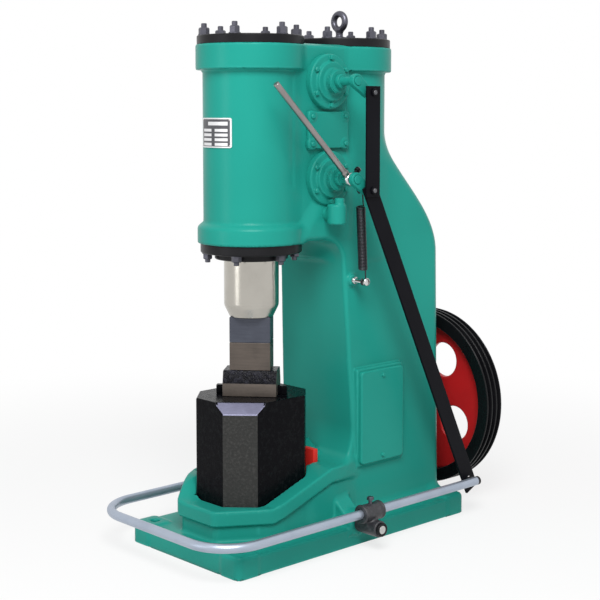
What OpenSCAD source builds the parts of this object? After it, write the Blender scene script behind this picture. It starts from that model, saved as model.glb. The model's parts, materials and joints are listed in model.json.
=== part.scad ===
// Pneumatic forging hammer: one cast frame with two cylinders, a wedged anvil,
// a sliding ram, a rear belt flywheel and a foot treadle that turns both air valves.
// Millimetres. +Z up, the floor is z = 0, the front of the machine faces -Y.

/* [Base and column] */
// Width of the base plate
base_w = 378; // [340:1:420]
// Length of the base plate
base_l = 739; // [700:1:800]
// Thickness of the base plate
base_t = 45; // [35:1:60]
// Corner radius of the base plate
base_r = 14; // [6:1:25]
// Side of the raised pads at the base's corners
foot_pad = 64; // [56:1:70]
// How far the corner pads stand above the base
foot_pad_rise = 5; // [3:0.5:8]
// Radius of the foundation bolt holes
bolt_hole_r = 11; // [8:0.5:13]
// Distance of the foundation bolts from the base's edges
bolt_inset = 36; // [30:1:38]
// Half width of the column where it meets the base
column_foot_half = 132; // [122:1:140]
// Half width of the column at its shoulder
column_top_half = 109; // [100:1:118]
// Height at which the column stops tapering
column_taper_z = 700; // [640:1:760]
// Rear face of the column
column_rear_y = 360; // [345:1:368]
// Front face of the column at the top of the throat
throat_top_y = 20; // [5:1:35]
// Front face of the column at the bottom of the throat
throat_low_y = 42; // [38:1:55]
// Roof of the throat
throat_roof_z = 710; // [700:1:725]
// Radius of the throat's upper corner
throat_roof_r = 58; // [40:1:70]
// Height at which the throat starts to sweep forward
throat_sweep_z = 262; // [235:1:300]
// Where the sweep runs out onto the collar
throat_sweep_y = -135; // [-150:1:-120]
// Height at which the rear shoulder starts to curve in
shoulder_low_z = 655; // [620:1:690]
// Height at which the rear shoulder meets the rear cylinder
shoulder_high_z = 965; // [930:1:1000]
// How far the round of the column's rear corners reaches past its rear face
rear_corner_past = 18; // [11:1:22]

/* [Cylinders] */
// Front cylinder axis
front_cyl_y = -166; // [-180:1:-150]
// Rear cylinder axis
rear_cyl_y = 116; // [105:1:128]
// Outer radius of both barrels
barrel_r = 109; // [104:0.5:114]
// Radius of the cylinder flanges
flange_r = 124.5; // [118:0.5:132]
// Top face of the cylinder flanges
flange_top_z = 1150; // [1130:1:1180]
// Depth of the upper flanges
flange_h = 57; // [45:1:70]
// Depth of the lower flange on the front cylinder
low_flange_h = 46; // [35:1:55]
// Radius of the lower flange on the front cylinder
low_flange_r = 122.5; // [118:0.5:128]
// Lower face of the front cylinder
front_cyl_low_z = 702; // [695:1:708]
// Half width of the web between the barrels
web_half = 84; // [70:1:95]
// Bore of the front cylinder
cyl_bore_r = 70; // [67:0.5:80]
// Radius of the cylinder covers
cover_r = 121.5; // [112:0.5:124]
// Thickness of the cylinder covers
cover_t = 20; // [12:1:28]
// Width and height of the step at the covers' edge
cover_step = 4; // [2:0.5:6]

/* [Collar and anvil] */
// Half width of the collar round the anvil
collar_half = 145; // [138:1:160]
// Front edge of the collar
collar_front_y = -338; // [-350:1:-325]
// Half length of the collar's front edge
collar_front_half = 66; // [58:1:80]
// Where the collar's slanted corners end
collar_corner_y = -214; // [-230:1:-200]
// Top of the collar
collar_top_z = 118; // [110:1:130]
// Depth of the collar's overhanging band
collar_band_h = 36; // [28:1:45]
// How far the pedestal stands back under the collar
pedestal_inset = 9; // [4:1:14]
// Half width of the anvil
anvil_half_w = 102; // [95:1:108]
// Half length of the anvil
anvil_half_l = 127; // [118:1:132]
// Corner cut of the anvil, along each side
anvil_cut = 54.5; // [40:0.5:62]
// Top of the anvil
anvil_top_z = 351; // [335:1:365]
// Floor of the anvil's pocket
pocket_floor_z = 62; // [50:1:75]
// Height of the bevel at the anvil's front right corner
anvil_bevel = 24; // [12:1:32]
// Thickness of the side wedge
side_wedge_t = 19; // [14:1:20]
// Thickness of the rear wedge
rear_wedge_t = 14; // [10:1:18]
// Half length of the rear wedge
rear_wedge_half = 74; // [60:1:85]
// Top of the rear wedge
rear_wedge_top_z = 209; // [180:1:230]
// Top of the side wedge
side_wedge_top_z = 136; // [125:1:160]

/* [Ram and dies] */
// Radius of the ram
ram_r = 63; // [58:0.5:66]
// Radius of the ram's lower end
ram_nose_r = 50; // [45:0.5:56]
// Lower end of the ram's round body
ram_low_z = 532; // [520:1:550]
// Height of the ram's tapered nose
ram_nose_h = 27; // [15:1:40]
// Air space over the ram at the top of its stroke
ram_headroom = 60; // [40:1:90]
// Stroke of the ram
ram_stroke = 160; // [120:1:180]
// Angle of the dies to the machine's side
die_turn = 41; // [30:1:50]
// Width of the ram's shank and of the upper die
die_w = 94; // [80:1:98]
// Depth of the ram's shank and of the upper die
die_d = 62; // [50:1:70]
// Height of the shank below the ram's nose
shank_h = 58; // [45:1:70]
// Height of the upper die
upper_die_h = 64; // [50:1:80]
// Length of the lower die
low_die_l = 124; // [110:1:135]
// Depth of the lower die at its foot
low_die_d = 84; // [75:1:95]
// Height of the lower die's straight foot
low_die_foot_h = 30; // [22:1:40]
// Width of the dovetail keys
key_w = 16; // [12:1:20]
// Height of the dovetail keys
key_h = 20; // [14:1:24]
// How far a key stands out at each end
key_proud = 20; // [10:1:28]

/* [Gland] */
// Radius of the gland's bolting flange
gland_flange_r = 116; // [108:1:120]
// Thickness of the gland's bolting flange
gland_flange_t = 22; // [16:1:28]
// Radius of the gland's nose
gland_nose_r = 84; // [76:1:92]
// Length of the gland's nose
gland_nose_h = 15; // [10:1:22]

/* [Valves and linkage] */
// Valve chest face
chest_x = 100; // [94:1:108]
// Front end of the valve chest
chest_front_y = -94; // [-105:1:-88]
// Rear end of the valve chest
chest_rear_y = 44; // [40:1:55]
// Bottom of the valve chest
chest_low_z = 742; // [730:1:755]
// Valve axes, along the machine
valve_y = -25; // [-32:1:-18]
// Height of the upper valve axis
upper_valve_z = 1068; // [1055:1:1080]
// Height of the lower valve axis
lower_valve_z = 848; // [840:1:856]
// Radius of the valve covers
valve_cover_r = 63; // [56:1:66]
// Thickness of the valve covers
valve_cover_t = 16; // [10:1:20]
// Radius of the raised middle of the valve covers
valve_hub_r = 44; // [36:1:50]
// Height of the raised middle of the valve covers
valve_hub_t = 8; // [4:1:9]
// Length of the spindle bearings on the valve covers
bearing_l = 26; // [20:1:28]
// Wall of the spindle bearings
bearing_wall = 15; // [11:1:17]
// Length of the collars on the spindles
spindle_collar_l = 11; // [8:1:12]
// Wall of the collars on the spindles
spindle_collar_wall = 6; // [4:1:7]
// Radius of the valve spindles
spindle_r = 10; // [8:0.5:12]
// Outer end of the valve spindles
spindle_end_x = 204; // [203:1:206]
// Crank arm length, axis to pin
crank_len = 43; // [38:1:48]
// Angle of the crank arms below level at rest
crank_drop = 36; // [28:1:42]
// Thickness of the crank arms
crank_t = 14; // [10:1:16]
// Wall of the crank arms round their bores
crank_wall = 6; // [5:0.5:9]
// Width of the flat link bars
link_w = 42; // [34:1:46]
// Thickness of the flat link bars
link_t = 6; // [5:0.5:7]
// Radius of the link pins
pin_r = 6; // [5:0.5:8]
// Thickness of the link pins' heads
pin_head_t = 5; // [4:0.5:7]
// How far the link pins' heads stand out round the pins
pin_head_wall = 3; // [2:0.5:5]
// Play of the foot pin in the pull rod's lower eye
foot_play = 3.5; // [3.2:0.1:4.5]
// How far the pull rod reaches past its foot pin
rod_foot_end = 28; // [20:1:32]
// Length of the hand lever from its hub
lever_len = 307; // [260:1:330]
// Angle of the hand lever above level at rest
lever_rise = 43.5; // [35:0.5:50]
// Radius of the hand lever
lever_r = 7; // [5:0.5:9]
// Width of the hand lever's hub
lever_hub_w = 18; // [14:1:20]
// Wall of the hand lever's hub
lever_hub_wall = 6; // [5:1:9]
// Angle of the lever's clamp screw above level at rest
lever_screw_rise = 38; // [25:1:50]
// Reach of the lever's clamp screw from the spindle
lever_screw_l = 28; // [22:1:32]
// Radius of the clamp screw's head
lever_screw_r = 7; // [5:0.5:8]
// Width of the chest's middle cover
chest_cover_w = 126; // [110:1:132]
// Height of the chest's middle cover
chest_cover_h = 84; // [70:1:92]
// Thickness of the chest's middle cover
chest_cover_t = 10; // [6:1:14]
// Corner radius of the chest's middle cover
chest_cover_r = 8; // [4:1:14]
// Radius of the exhaust elbow
elbow_r = 22; // [18:1:24]
// How far the exhaust elbow stands out from the valve cover's face
elbow_out = 25; // [23:1:26]
// Radius of the branch between the chest and the exhaust elbow
branch_r = 17; // [12:1:20]
// Radius of the stub on the exhaust elbow
stub_r = 11; // [8:1:13]
// Height of the stub on the exhaust elbow
stub_h = 14; // [8:1:16]

/* [Return spring] */
// Place of the spring stud along the machine
stud_y = 46; // [44:1:60]
// Height of the spring stud
stud_z = 607; // [595:1:625]
// Radius of the spring stud
stud_r = 6; // [5:0.5:8]
// Outer end of the spring stud
stud_end_x = 166; // [160:1:172]
// Thickness of the spring stud's head
stud_head_t = 7; // [5:1:9]
// Wall of the boss round the spring stud
stud_boss_wall = 8; // [6:1:10]
// How far the boss stands out of the column
stud_boss_l = 12; // [8:1:16]
// Outer radius of the spring
spring_r = 11; // [8:0.5:12]
// Radius of the spring's wire
spring_wire_r = 1.6; // [1.2:0.1:2]
// Length of the spring's end hooks
spring_hook = 30; // [24:1:36]
// Extra length of the upper hook, at the knee pin
knee_hook = 10; // [0:1:16]

/* [Treadle] */
// Length of the foot pin's collar between the pull rod and the treadle pipe
foot_collar_l = 7.5; // [6:0.5:10]
// Front of the treadle hoop, to the pipe's centre
hoop_front_y = -450; // [-462:1:-438]
// Radius of the treadle pipe
pipe_r = 10.5; // [9:0.25:12]
// Bend radius of the treadle hoop
hoop_bend_r = 100; // [70:1:110]
// Treadle pivot along the machine
pivot_y = -8; // [-20:1:10]
// Height of the treadle pivot
pivot_z = 54; // [52:1:58]
// Height of the pipe above the pivot
pipe_rise = 34; // [31:0.5:36]
// Radius of the treadle pivot pins
pivot_r = 11; // [9:0.5:12]
// Radius of the pivot lugs on the base
lug_r = 27; // [22:1:30]
// How far the pivot lugs stand out past the base
lug_proud = 7; // [5:1:10]
// Height at which the lugs' ribs meet the column
lug_rib_z = 108; // [95:1:120]
// Wall of the tees round the pivot pins
pivot_wall = 8; // [6:1:10]
// Thickness of the pivot pins' heads
pivot_head_t = 6; // [4:1:8]
// How far the pivot pins' heads stand out round the pins
pivot_head_wall = 5; // [4:1:7]
// Radius of the tee's pipe sleeve
sleeve_r = 20; // [17:1:22]
// Length of the tee's pipe sleeve
sleeve_l = 62; // [50:1:75]
// Where the rod is pinned at the treadle's rear end
rod_foot_y = 366; // [358:1:372]
// Where the left arm of the hoop ends
left_arm_end_y = 46; // [40:1:80]

/* [Flywheel] */
// Radius of the flywheel
wheel_r = 226; // [218:1:232]
// Height of the crankshaft
shaft_z = 261; // [252:1:270]
// Front face of the flywheel rim
wheel_front_y = 416; // [410:1:425]
// Width of the flywheel rim
rim_w = 56; // [50:1:66]
// Radial depth of the flywheel rim
rim_depth = 32; // [26:1:38]
// Number of belt grooves in the flywheel rim
grooves = 3; // [2:1:4]
// Depth of the belt grooves
groove_d = 12; // [8:1:12]
// Slope of the belt grooves' sides
groove_slope = 17; // [12:1:18]
// Width of the lands between the belt grooves
rim_land = 4; // [3:0.5:4.5]
// Thickness of the flywheel web
web_t = 18; // [12:1:24]
// Radius of the web's holes
web_hole_r = 44; // [36:1:48]
// Distance of the web's holes from the axis
web_hole_at = 117; // [112:1:124]
// Angle of the web's first hole above level at rest
web_hole_turn = 59; // [0:1:89]
// Radius of the flywheel hub
hub_r = 48; // [42:1:56]
// Radius of the crankshaft end
shaft_r = 25; // [20:1:30]
// Radius of the rear bearing housing's flange
housing_r = 72; // [64:1:80]
// Thickness of the rear bearing housing's flange
housing_flange_t = 24; // [16:1:30]
// Radius of the rear bearing housing's nose
housing_nose_r = 50; // [42:1:58]
// Gap between the rear bearing housing and the flywheel
wheel_gap = 8; // [6:1:12]
// How far the crankshaft stands out of the flywheel
shaft_proud = 10; // [8:1:14]
// Height of the flywheel nut
wheel_nut_h = 18; // [15:1:24]
// Corner reach of the flywheel nut round the shaft
wheel_nut_wall = 11; // [8:1:13]
// Thickness of the flywheel nut's washer
washer_t = 5; // [3:1:7]
// Reach of the washer round the shaft
washer_wall = 14; // [12:1:18]

/* [Covers and plates] */
// Front edge of the column's side cover
side_cover_y = 54; // [50:1:60]
// Width of the column's side cover
side_cover_w = 146; // [130:1:155]
// Lower edge of the column's side cover
side_cover_z = 166; // [155:1:180]
// Height of the column's side cover
side_cover_h = 224; // [205:1:235]
// Thickness of the column's side cover
side_cover_t = 9; // [6:1:12]
// Corner radius of the column's side cover
side_cover_r = 10; // [5:1:18]
// Margin of the pad round the side cover
side_pad_margin = 6; // [3:1:10]
// Width of the blank data plate, round the barrel
plate_w = 100; // [80:1:110]
// Height of the blank data plate
plate_h = 66; // [50:1:76]
// Middle height of the blank data plate
plate_z = 953; // [930:1:980]
// Thickness of the blank data plate
plate_t = 2; // [1:0.5:3]
// Outer radius of the lifting eye
eye_r = 26; // [22:1:30]
// Radius of the lifting eye's bar
eye_bar_r = 7.5; // [6:0.5:9]
// Top of the lifting eye above its cover
eye_h = 70; // [62:1:80]
// Radius of the lifting eye's foot
eye_foot_r = 18; // [14:1:22]

/* [Fits] */
// Gap of a seated fit
seat_gap = 0.05; // [0.02:0.01:0.1]
// Gap of a running fit
run_gap = 0.08; // [0.05:0.01:0.1]
// Gap between pieces that slide or rest on each other
rest_gap = 0.3; // [0.2:0.05:0.5]
// Side gap at a pivot
side_gap = 1; // [0.6:0.1:1.5]

/* [Hidden] */
$fn = 64;
overlap = 2;
side_reach = base_w + base_l;
cast_green = "mediumseagreen";
shop_black = "#17181a";
bare_steel = "silver";
signal_red = "firebrick";
foundry_grey = "#5b5753";

column_front_half = throat_top_y - throat_roof_r;
rear_corner_reach = column_rear_y - rear_cyl_y + rear_corner_past;
chest_top_z = flange_top_z;
cover_top_z = flange_top_z + cover_t;
gland_low_z = front_cyl_low_z - gland_flange_t - gland_nose_h;

anvil_rear_y = front_cyl_y + anvil_half_l;
pocket_clear_h = throat_roof_z - pocket_floor_z - throat_roof_r;
bolt_x = base_w / 2 - bolt_inset;
bolt_y = base_l / 2 - bolt_inset;

ram_top_z = flange_top_z - ram_headroom - ram_stroke;
shank_low_z = ram_low_z - shank_h;
upper_die_low_z = shank_low_z - upper_die_h;
low_die_top_z = upper_die_low_z - rest_gap;

bearing_end_x = chest_x + valve_cover_t + bearing_l;
lever_hub_r = spindle_r + lever_hub_wall;
crank_x = spindle_end_x - overlap - crank_t;
rod_x = spindle_end_x + side_gap;
bar_x = rod_x + link_t + side_gap;
pin_head_x = bar_x + link_t + side_gap;
lever_x = crank_x - overlap - side_gap - lever_hub_w / 2;
link_end = link_w / 3;
spring_top_x = lever_x;
spring_low_x = stud_end_x - 2 * stud_head_t;
stud_root_x = column_top_half - stud_boss_l;
crank_tip_y = crank_len * cos(crank_drop);
crank_tip_z = -crank_len * sin(crank_drop);
knee_y = valve_y + crank_tip_y;
knee_z = lower_valve_z + crank_tip_z;
bar_top_z = upper_valve_z + crank_tip_z;

pipe_z = pivot_z + pipe_rise;
hoop_half = rod_x + link_t + side_gap + foot_collar_l + pipe_r;
hoop_bend_y = hoop_front_y + hoop_bend_r;
lug_end_x = base_w / 2 + lug_proud;
tee_start_x = lug_end_x + side_gap;
tee_end_x = 2 * hoop_half - tee_start_x;
pivot_head_x = tee_end_x + side_gap;
foot_pin_end_x = hoop_half - pipe_r + overlap;
rod_len = norm([rod_foot_y - knee_y, pipe_z - knee_z]);
rod_lean = atan2(rod_foot_y - knee_y, knee_z - pipe_z);

rim_inner_r = wheel_r - rim_depth;
wheel_back_y = wheel_front_y + rim_w;
web_front_y = wheel_front_y + (rim_w - web_t) / 2;
housing_end_y = wheel_front_y - wheel_gap;
shaft_end_y = wheel_back_y + shaft_proud;

// Cylinder along +X from x0 to x1
module rod_along_x(r, x0, x1) {
    translate([x0, 0, 0]) rotate([0, 90, 0]) cylinder(r = r, h = x1 - x0);
}

// Cylinder along +Y from y0 to y1
module rod_along_y(r, y0, y1) {
    translate([0, y0, 0]) rotate([-90, 0, 0]) cylinder(r = r, h = y1 - y0);
}

// Block given by its low and high corners
module block(low, high) {
    translate(low) cube(high - low);
}

// Outline in the YZ plane, extruded along X between x0 and x1
module side_extrude(x0, x1) {
    translate([x0, 0, 0]) rotate([90, 0, 90]) linear_extrude(x1 - x0) children();
}

// Outline in the XZ plane, extruded along Y between y0 and y1
module front_extrude(y0, y1) {
    translate([0, y1, 0]) rotate([90, 0, 0]) linear_extrude(y1 - y0) children();
}

// Points of an ellipse's arc about a centre
function arc(centre, rx, ry, from, to, steps) =
    [for (i = [0 : steps])
        let (a = from + (to - from) * i / steps)
        [centre.x + rx * cos(a), centre.y + ry * sin(a)]];

// Rectangle with round corners, as one outline
function round_rect(w, l, r) = concat(
    arc([w / 2 - r, l / 2 - r], r, r, 0, 90, 5),
    arc([-w / 2 + r, l / 2 - r], r, r, 90, 180, 5),
    arc([-w / 2 + r, -l / 2 + r], r, r, 180, 270, 5),
    arc([w / 2 - r, -l / 2 + r], r, r, 270, 360, 5));

// Eight-sided plan of the anvil, grown by a gap
function anvil_plan(gap) =
    let (w = anvil_half_w + gap, l = anvil_half_l + gap, c = anvil_cut + gap * (2 - sqrt(2)))
    [for (p = [[w - c, -l], [w, -l + c], [w, l - c], [w - c, l],
               [-w + c, l], [-w, l - c], [-w, -l + c], [-w + c, -l]])
        p + [0, front_cyl_y]];

// Plan of the collar, drawn in by an inset
function collar_plan(inset) =
    [[collar_front_half - inset / 2, collar_front_y + inset], [collar_half - inset, collar_corner_y],
     [collar_half - inset, throat_low_y], [-collar_half + inset, throat_low_y],
     [-collar_half + inset, collar_corner_y], [-collar_front_half + inset / 2, collar_front_y + inset]];

// Rear shoulder: a half wave from the column's back to the rear barrel's back
function shoulder(steps) =
    let (barrel_back_y = rear_cyl_y + barrel_r)
    [for (i = [0 : steps])
        let (t = i / steps)
        [column_rear_y - (column_rear_y - barrel_back_y) * (1 - cos(180 * t)) / 2,
         shoulder_low_z + (shoulder_high_z - shoulder_low_z) * t]];

// Side outline of the column, its neck and the throat
function column_side() = concat(
    [[column_rear_y, base_t - overlap]],
    shoulder(16),
    [[front_cyl_y, shoulder_high_z], [front_cyl_y, throat_roof_z]],
    arc([column_front_half, throat_roof_z - throat_roof_r], throat_roof_r, throat_roof_r, 90, 0, 8),
    arc([throat_sweep_y, throat_sweep_z], throat_low_y - throat_sweep_y,
        throat_sweep_z - collar_top_z, 0, -90, 10),
    [[throat_sweep_y, base_t - overlap]]);

// Front outline of the column: tapered sides
function column_front() =
    [[-column_foot_half, 0], [column_foot_half, 0], [column_top_half, column_taper_z],
     [column_top_half, flange_top_z], [-column_top_half, flange_top_z], [-column_top_half, column_taper_z]];

// Clears the neck's sides back to the plane of the valve chest
module neck_cut() {
    for (side = [0, 1])
        mirror([side, 0, 0])
            block([chest_x, -side_reach, chest_low_z], [side_reach, chest_rear_y, flange_top_z]);
}

// Bell about the rear cylinder's axis that rounds the column's rear corners into the barrel
module shoulder_bell() {
    steps = 12;
    top_r = barrel_r - 2 * overlap;
    profile = [for (i = [0 : steps])
        let (t = i / steps)
        [top_r + (rear_corner_reach - top_r) * (1 + cos(180 * t)) / 2,
         shoulder_low_z + (shoulder_high_z - shoulder_low_z) * t]];
    translate([0, rear_cyl_y, 0])
        rotate_extrude()
            polygon(concat([[0, 0], [rear_corner_reach, 0]], profile,
                           [[top_r, shoulder_high_z + overlap], [0, shoulder_high_z + overlap]]));
}

module column_body() {
    difference() {
        intersection() {
            side_extrude(-side_reach, side_reach) polygon(column_side());
            front_extrude(-side_reach, rear_cyl_y) polygon(column_front());
        }
        neck_cut();
    }
    intersection() {
        side_extrude(-side_reach, side_reach) polygon(column_side());
        front_extrude(rear_cyl_y - overlap, side_reach) polygon(column_front());
        shoulder_bell();
    }
}

// Puts its children at the four corners, at half spacings x and y
module at_corners(x, y) {
    for (sx = [-1, 1], sy = [-1, 1])
        translate([sx * x, sy * y, 0]) children();
}

module base_plate() {
    linear_extrude(base_t) polygon(round_rect(base_w, base_l, base_r));
    at_corners((base_w - foot_pad) / 2, (base_l - foot_pad) / 2)
        linear_extrude(base_t + foot_pad_rise) polygon(round_rect(foot_pad, foot_pad, base_r));
}

module collar_body() {
    translate([0, 0, collar_top_z - collar_band_h]) linear_extrude(collar_band_h) polygon(collar_plan(0));
    translate([0, 0, base_t - overlap])
        linear_extrude(collar_top_z - base_t) polygon(collar_plan(pedestal_inset));
}

module front_barrel() {
    translate([0, front_cyl_y, front_cyl_low_z]) {
        cylinder(r = barrel_r, h = flange_top_z - front_cyl_low_z);
        cylinder(r = low_flange_r, h = low_flange_h);
    }
    translate([0, front_cyl_y, flange_top_z - flange_h]) cylinder(r = flange_r, h = flange_h);
}

module rear_barrel() {
    translate([0, rear_cyl_y, shoulder_low_z])
        cylinder(r = barrel_r, h = flange_top_z - shoulder_low_z);
    translate([0, rear_cyl_y, flange_top_z - flange_h]) cylinder(r = flange_r, h = flange_h);
}

module chest_body() {
    block([-web_half, front_cyl_y, throat_roof_z + overlap], [web_half, rear_cyl_y, chest_top_z]);
    block([0, chest_front_y, chest_low_z], [chest_x, chest_rear_y, chest_top_z]);
}

// Round lugs for the treadle pins, each with a sloping rib up to the column
module pivot_lugs() {
    root_x = column_foot_half - lug_r;
    for (side = [0, 1])
        mirror([side, 0, 0])
            translate([0, pivot_y, 0]) {
                translate([0, 0, pivot_z]) rod_along_x(lug_r, root_x, lug_end_x);
                front_extrude(-lug_r, lug_r)
                    polygon([[root_x, base_t - overlap], [lug_end_x - overlap, base_t - overlap],
                             [lug_end_x - overlap, pivot_z], [column_foot_half, lug_rib_z],
                             [root_x, lug_rib_z]]);
            }
}

module side_pad() {
    block([0, side_cover_y - side_pad_margin, side_cover_z - side_pad_margin],
          [column_foot_half, side_cover_y + side_cover_w + side_pad_margin,
           side_cover_z + side_cover_h + side_pad_margin]);
}

module stud_boss() {
    translate([0, stud_y, stud_z]) rod_along_x(stud_r + stud_boss_wall, 0, column_top_half + stud_boss_l);
}

module anvil_pocket() {
    translate([0, 0, pocket_floor_z]) {
        linear_extrude(pocket_clear_h) polygon(anvil_plan(rest_gap));
        block([-rear_wedge_half - rest_gap, anvil_rear_y - anvil_cut, 0],
              [rear_wedge_half + rest_gap, anvil_rear_y + rear_wedge_t + 2 * rest_gap, pocket_clear_h]);
        block([-anvil_half_w - side_wedge_t - 2 * rest_gap, front_cyl_y - anvil_half_l + anvil_cut, 0],
              [0, anvil_rear_y - anvil_cut, pocket_clear_h]);
    }
}

module frame_casting() {
    color(cast_green)
        difference() {
            union() {
                base_plate();
                column_body();
                collar_body();
                front_barrel();
                rear_barrel();
                chest_body();
                pivot_lugs();
                side_pad();
                stud_boss();
            }
            anvil_pocket();
            translate([0, front_cyl_y, front_cyl_low_z - overlap])
                cylinder(r = cyl_bore_r, h = flange_top_z);
            translate([0, pivot_y, pivot_z])
                for (side = [0, 1])
                    mirror([side, 0, 0])
                        rod_along_x(pivot_r + seat_gap, column_foot_half, lug_end_x + overlap);
            translate([0, stud_y, stud_z])
                rod_along_x(stud_r + seat_gap, stud_root_x, side_reach);
            translate([0, 0, -overlap])
                at_corners(bolt_x, bolt_y)
                    cylinder(r = bolt_hole_r, h = base_t + foot_pad_rise + 2 * overlap);
        }
}

// The anvil's front bevel, as the slab that it removes
module anvil_bevel_cut() {
    corner = [anvil_half_w - anvil_cut / 2, front_cyl_y - anvil_half_l + anvil_cut / 2, anvil_top_z];
    translate(corner) rotate([0, 0, 45]) rotate([-45, 0, 0])
        translate([-anvil_cut, -3 * anvil_bevel, -3 * anvil_bevel])
            cube([2 * anvil_cut, 3 * anvil_bevel + anvil_bevel / sqrt(2), 6 * anvil_bevel]);
}

module anvil() {
    color(shop_black)
        difference() {
            translate([0, 0, pocket_floor_z])
                linear_extrude(anvil_top_z - pocket_floor_z) polygon(anvil_plan(0));
            anvil_bevel_cut();
        }
}

module rear_wedge() {
    color(signal_red)
        block([-rear_wedge_half, anvil_rear_y + rest_gap, pocket_floor_z],
              [rear_wedge_half, anvil_rear_y + rest_gap + rear_wedge_t, rear_wedge_top_z]);
}

module side_wedge() {
    color(signal_red)
        block([-anvil_half_w - rest_gap - side_wedge_t, front_cyl_y - anvil_half_l + anvil_cut + rest_gap,
               pocket_floor_z],
              [-anvil_half_w - rest_gap, anvil_rear_y - anvil_cut - rest_gap, side_wedge_top_z]);
}

// Turns its children to the dies' angle about the ram axis
module at_dies() {
    translate([0, front_cyl_y, 0]) rotate([0, 0, die_turn]) children();
}

module lower_die() {
    foot_z = anvil_top_z;
    rise = low_die_top_z - foot_z;
    half = low_die_d / 2;
    top_half = die_d / 2;
    color(foundry_grey)
        at_dies()
            difference() {
                side_extrude(-low_die_l / 2, low_die_l / 2)
                    polygon([[-half, foot_z], [half, foot_z], [half, foot_z + low_die_foot_h],
                             [top_half, foot_z + rise], [-top_half, foot_z + rise],
                             [-half, foot_z + low_die_foot_h]]);
                block([-low_die_l, -key_w / 2 - seat_gap, foot_z - overlap],
                      [low_die_l, key_w / 2 + seat_gap, foot_z + key_h + seat_gap]);
            }
}

module lower_die_key() {
    color(shop_black)
        at_dies()
            block([-low_die_l / 2 - key_proud, -key_w / 2, anvil_top_z],
                  [low_die_l / 2 + key_proud, key_w / 2, anvil_top_z + key_h]);
}

module cylinder_cover(axis_y) {
    translate([0, axis_y, flange_top_z]) {
        cylinder(r = cover_r, h = cover_t - cover_step);
        cylinder(r = cover_r - cover_step, h = cover_t);
    }
}

module front_cylinder_cover() {
    color(shop_black) cylinder_cover(front_cyl_y);
}

module rear_cylinder_cover() {
    color(shop_black) cylinder_cover(rear_cyl_y);
}

module lifting_eye() {
    ring_r = eye_r - eye_bar_r;
    color(shop_black)
        translate([0, rear_cyl_y, cover_top_z]) {
            cylinder(r = eye_foot_r, h = eye_bar_r);
            cylinder(r = eye_bar_r, h = eye_h - 2 * eye_r + eye_bar_r);
            translate([0, 0, eye_h - eye_r]) rotate([90, 0, 0])
                rotate_extrude() translate([ring_r, 0]) circle(r = eye_bar_r);
        }
}

module ram_gland() {
    color(shop_black)
        translate([0, front_cyl_y, 0])
            difference() {
                union() {
                    translate([0, 0, front_cyl_low_z - gland_flange_t])
                        cylinder(r = gland_flange_r, h = gland_flange_t);
                    translate([0, 0, gland_low_z]) cylinder(r = gland_nose_r, h = gland_nose_h + overlap);
                }
                translate([0, 0, gland_low_z - overlap])
                    cylinder(r = ram_r + rest_gap, h = gland_flange_t + gland_nose_h + 2 * overlap);
            }
}

// Round stepped cover with a spindle bearing, facing +X
module valve_cover(axis_z) {
    color(cast_green)
        translate([chest_x, valve_y, axis_z])
            difference() {
                union() {
                    rod_along_x(valve_cover_r, 0, valve_cover_t);
                    rod_along_x(valve_hub_r, 0, valve_cover_t + valve_hub_t);
                    rod_along_x(spindle_r + bearing_wall, 0, valve_cover_t + bearing_l);
                }
                rod_along_x(spindle_r + run_gap, -overlap, valve_cover_t + bearing_l + overlap);
            }
}

module upper_valve_cover() {
    valve_cover(upper_valve_z);
}

module lower_valve_cover() {
    valve_cover(lower_valve_z);
}

module chest_cover() {
    middle_z = (upper_valve_z + lower_valve_z) / 2;
    color(cast_green)
        translate([chest_x, valve_y, middle_z]) rotate([90, 0, 90])
            linear_extrude(chest_cover_t) polygon(round_rect(chest_cover_w, chest_cover_h, chest_cover_r));
}

// Upright exhaust elbow under the lower valve, with a side branch to the chest and a stub on top
module exhaust_elbow() {
    outlet_x = chest_x + valve_cover_t + elbow_out;
    cover_low_z = lower_valve_z - valve_cover_r;
    elbow_top_z = cover_low_z + elbow_r / 4;
    color(cast_green)
        translate([0, valve_y - elbow_r / 4, 0]) {
            translate([outlet_x, 0, chest_low_z + overlap])
                cylinder(r = elbow_r, h = elbow_top_z - chest_low_z - overlap);
            translate([0, 0, cover_low_z - branch_r - overlap]) rod_along_x(branch_r, chest_x, outlet_x);
            translate([outlet_x + elbow_r - stub_r - overlap, 0, elbow_top_z - overlap])
                cylinder(r = stub_r, h = stub_h + overlap);
        }
}

module side_cover() {
    color(cast_green)
        translate([column_foot_half, side_cover_y + side_cover_w / 2, side_cover_z + side_cover_h / 2])
            rotate([90, 0, 90]) linear_extrude(side_cover_t)
                polygon(round_rect(side_cover_w, side_cover_h, side_cover_r));
}

module data_plate() {
    color(bare_steel)
        intersection() {
            translate([0, front_cyl_y, plate_z - plate_h / 2])
                difference() {
                    cylinder(r = barrel_r + seat_gap + plate_t, h = plate_h);
                    translate([0, 0, -overlap]) cylinder(r = barrel_r + seat_gap, h = plate_h + 2 * overlap);
                }
            block([-plate_w / 2, front_cyl_y - 2 * barrel_r, plate_z - plate_h],
                  [plate_w / 2, front_cyl_y, plate_z + plate_h]);
        }
}

module spring_stud() {
    color(bare_steel)
        translate([0, stud_y, stud_z]) {
            rod_along_x(stud_r, stud_root_x, stud_end_x);
            rod_along_x(stud_r + stud_head_t / 2, stud_end_x - stud_head_t, stud_end_x);
        }
}

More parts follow.
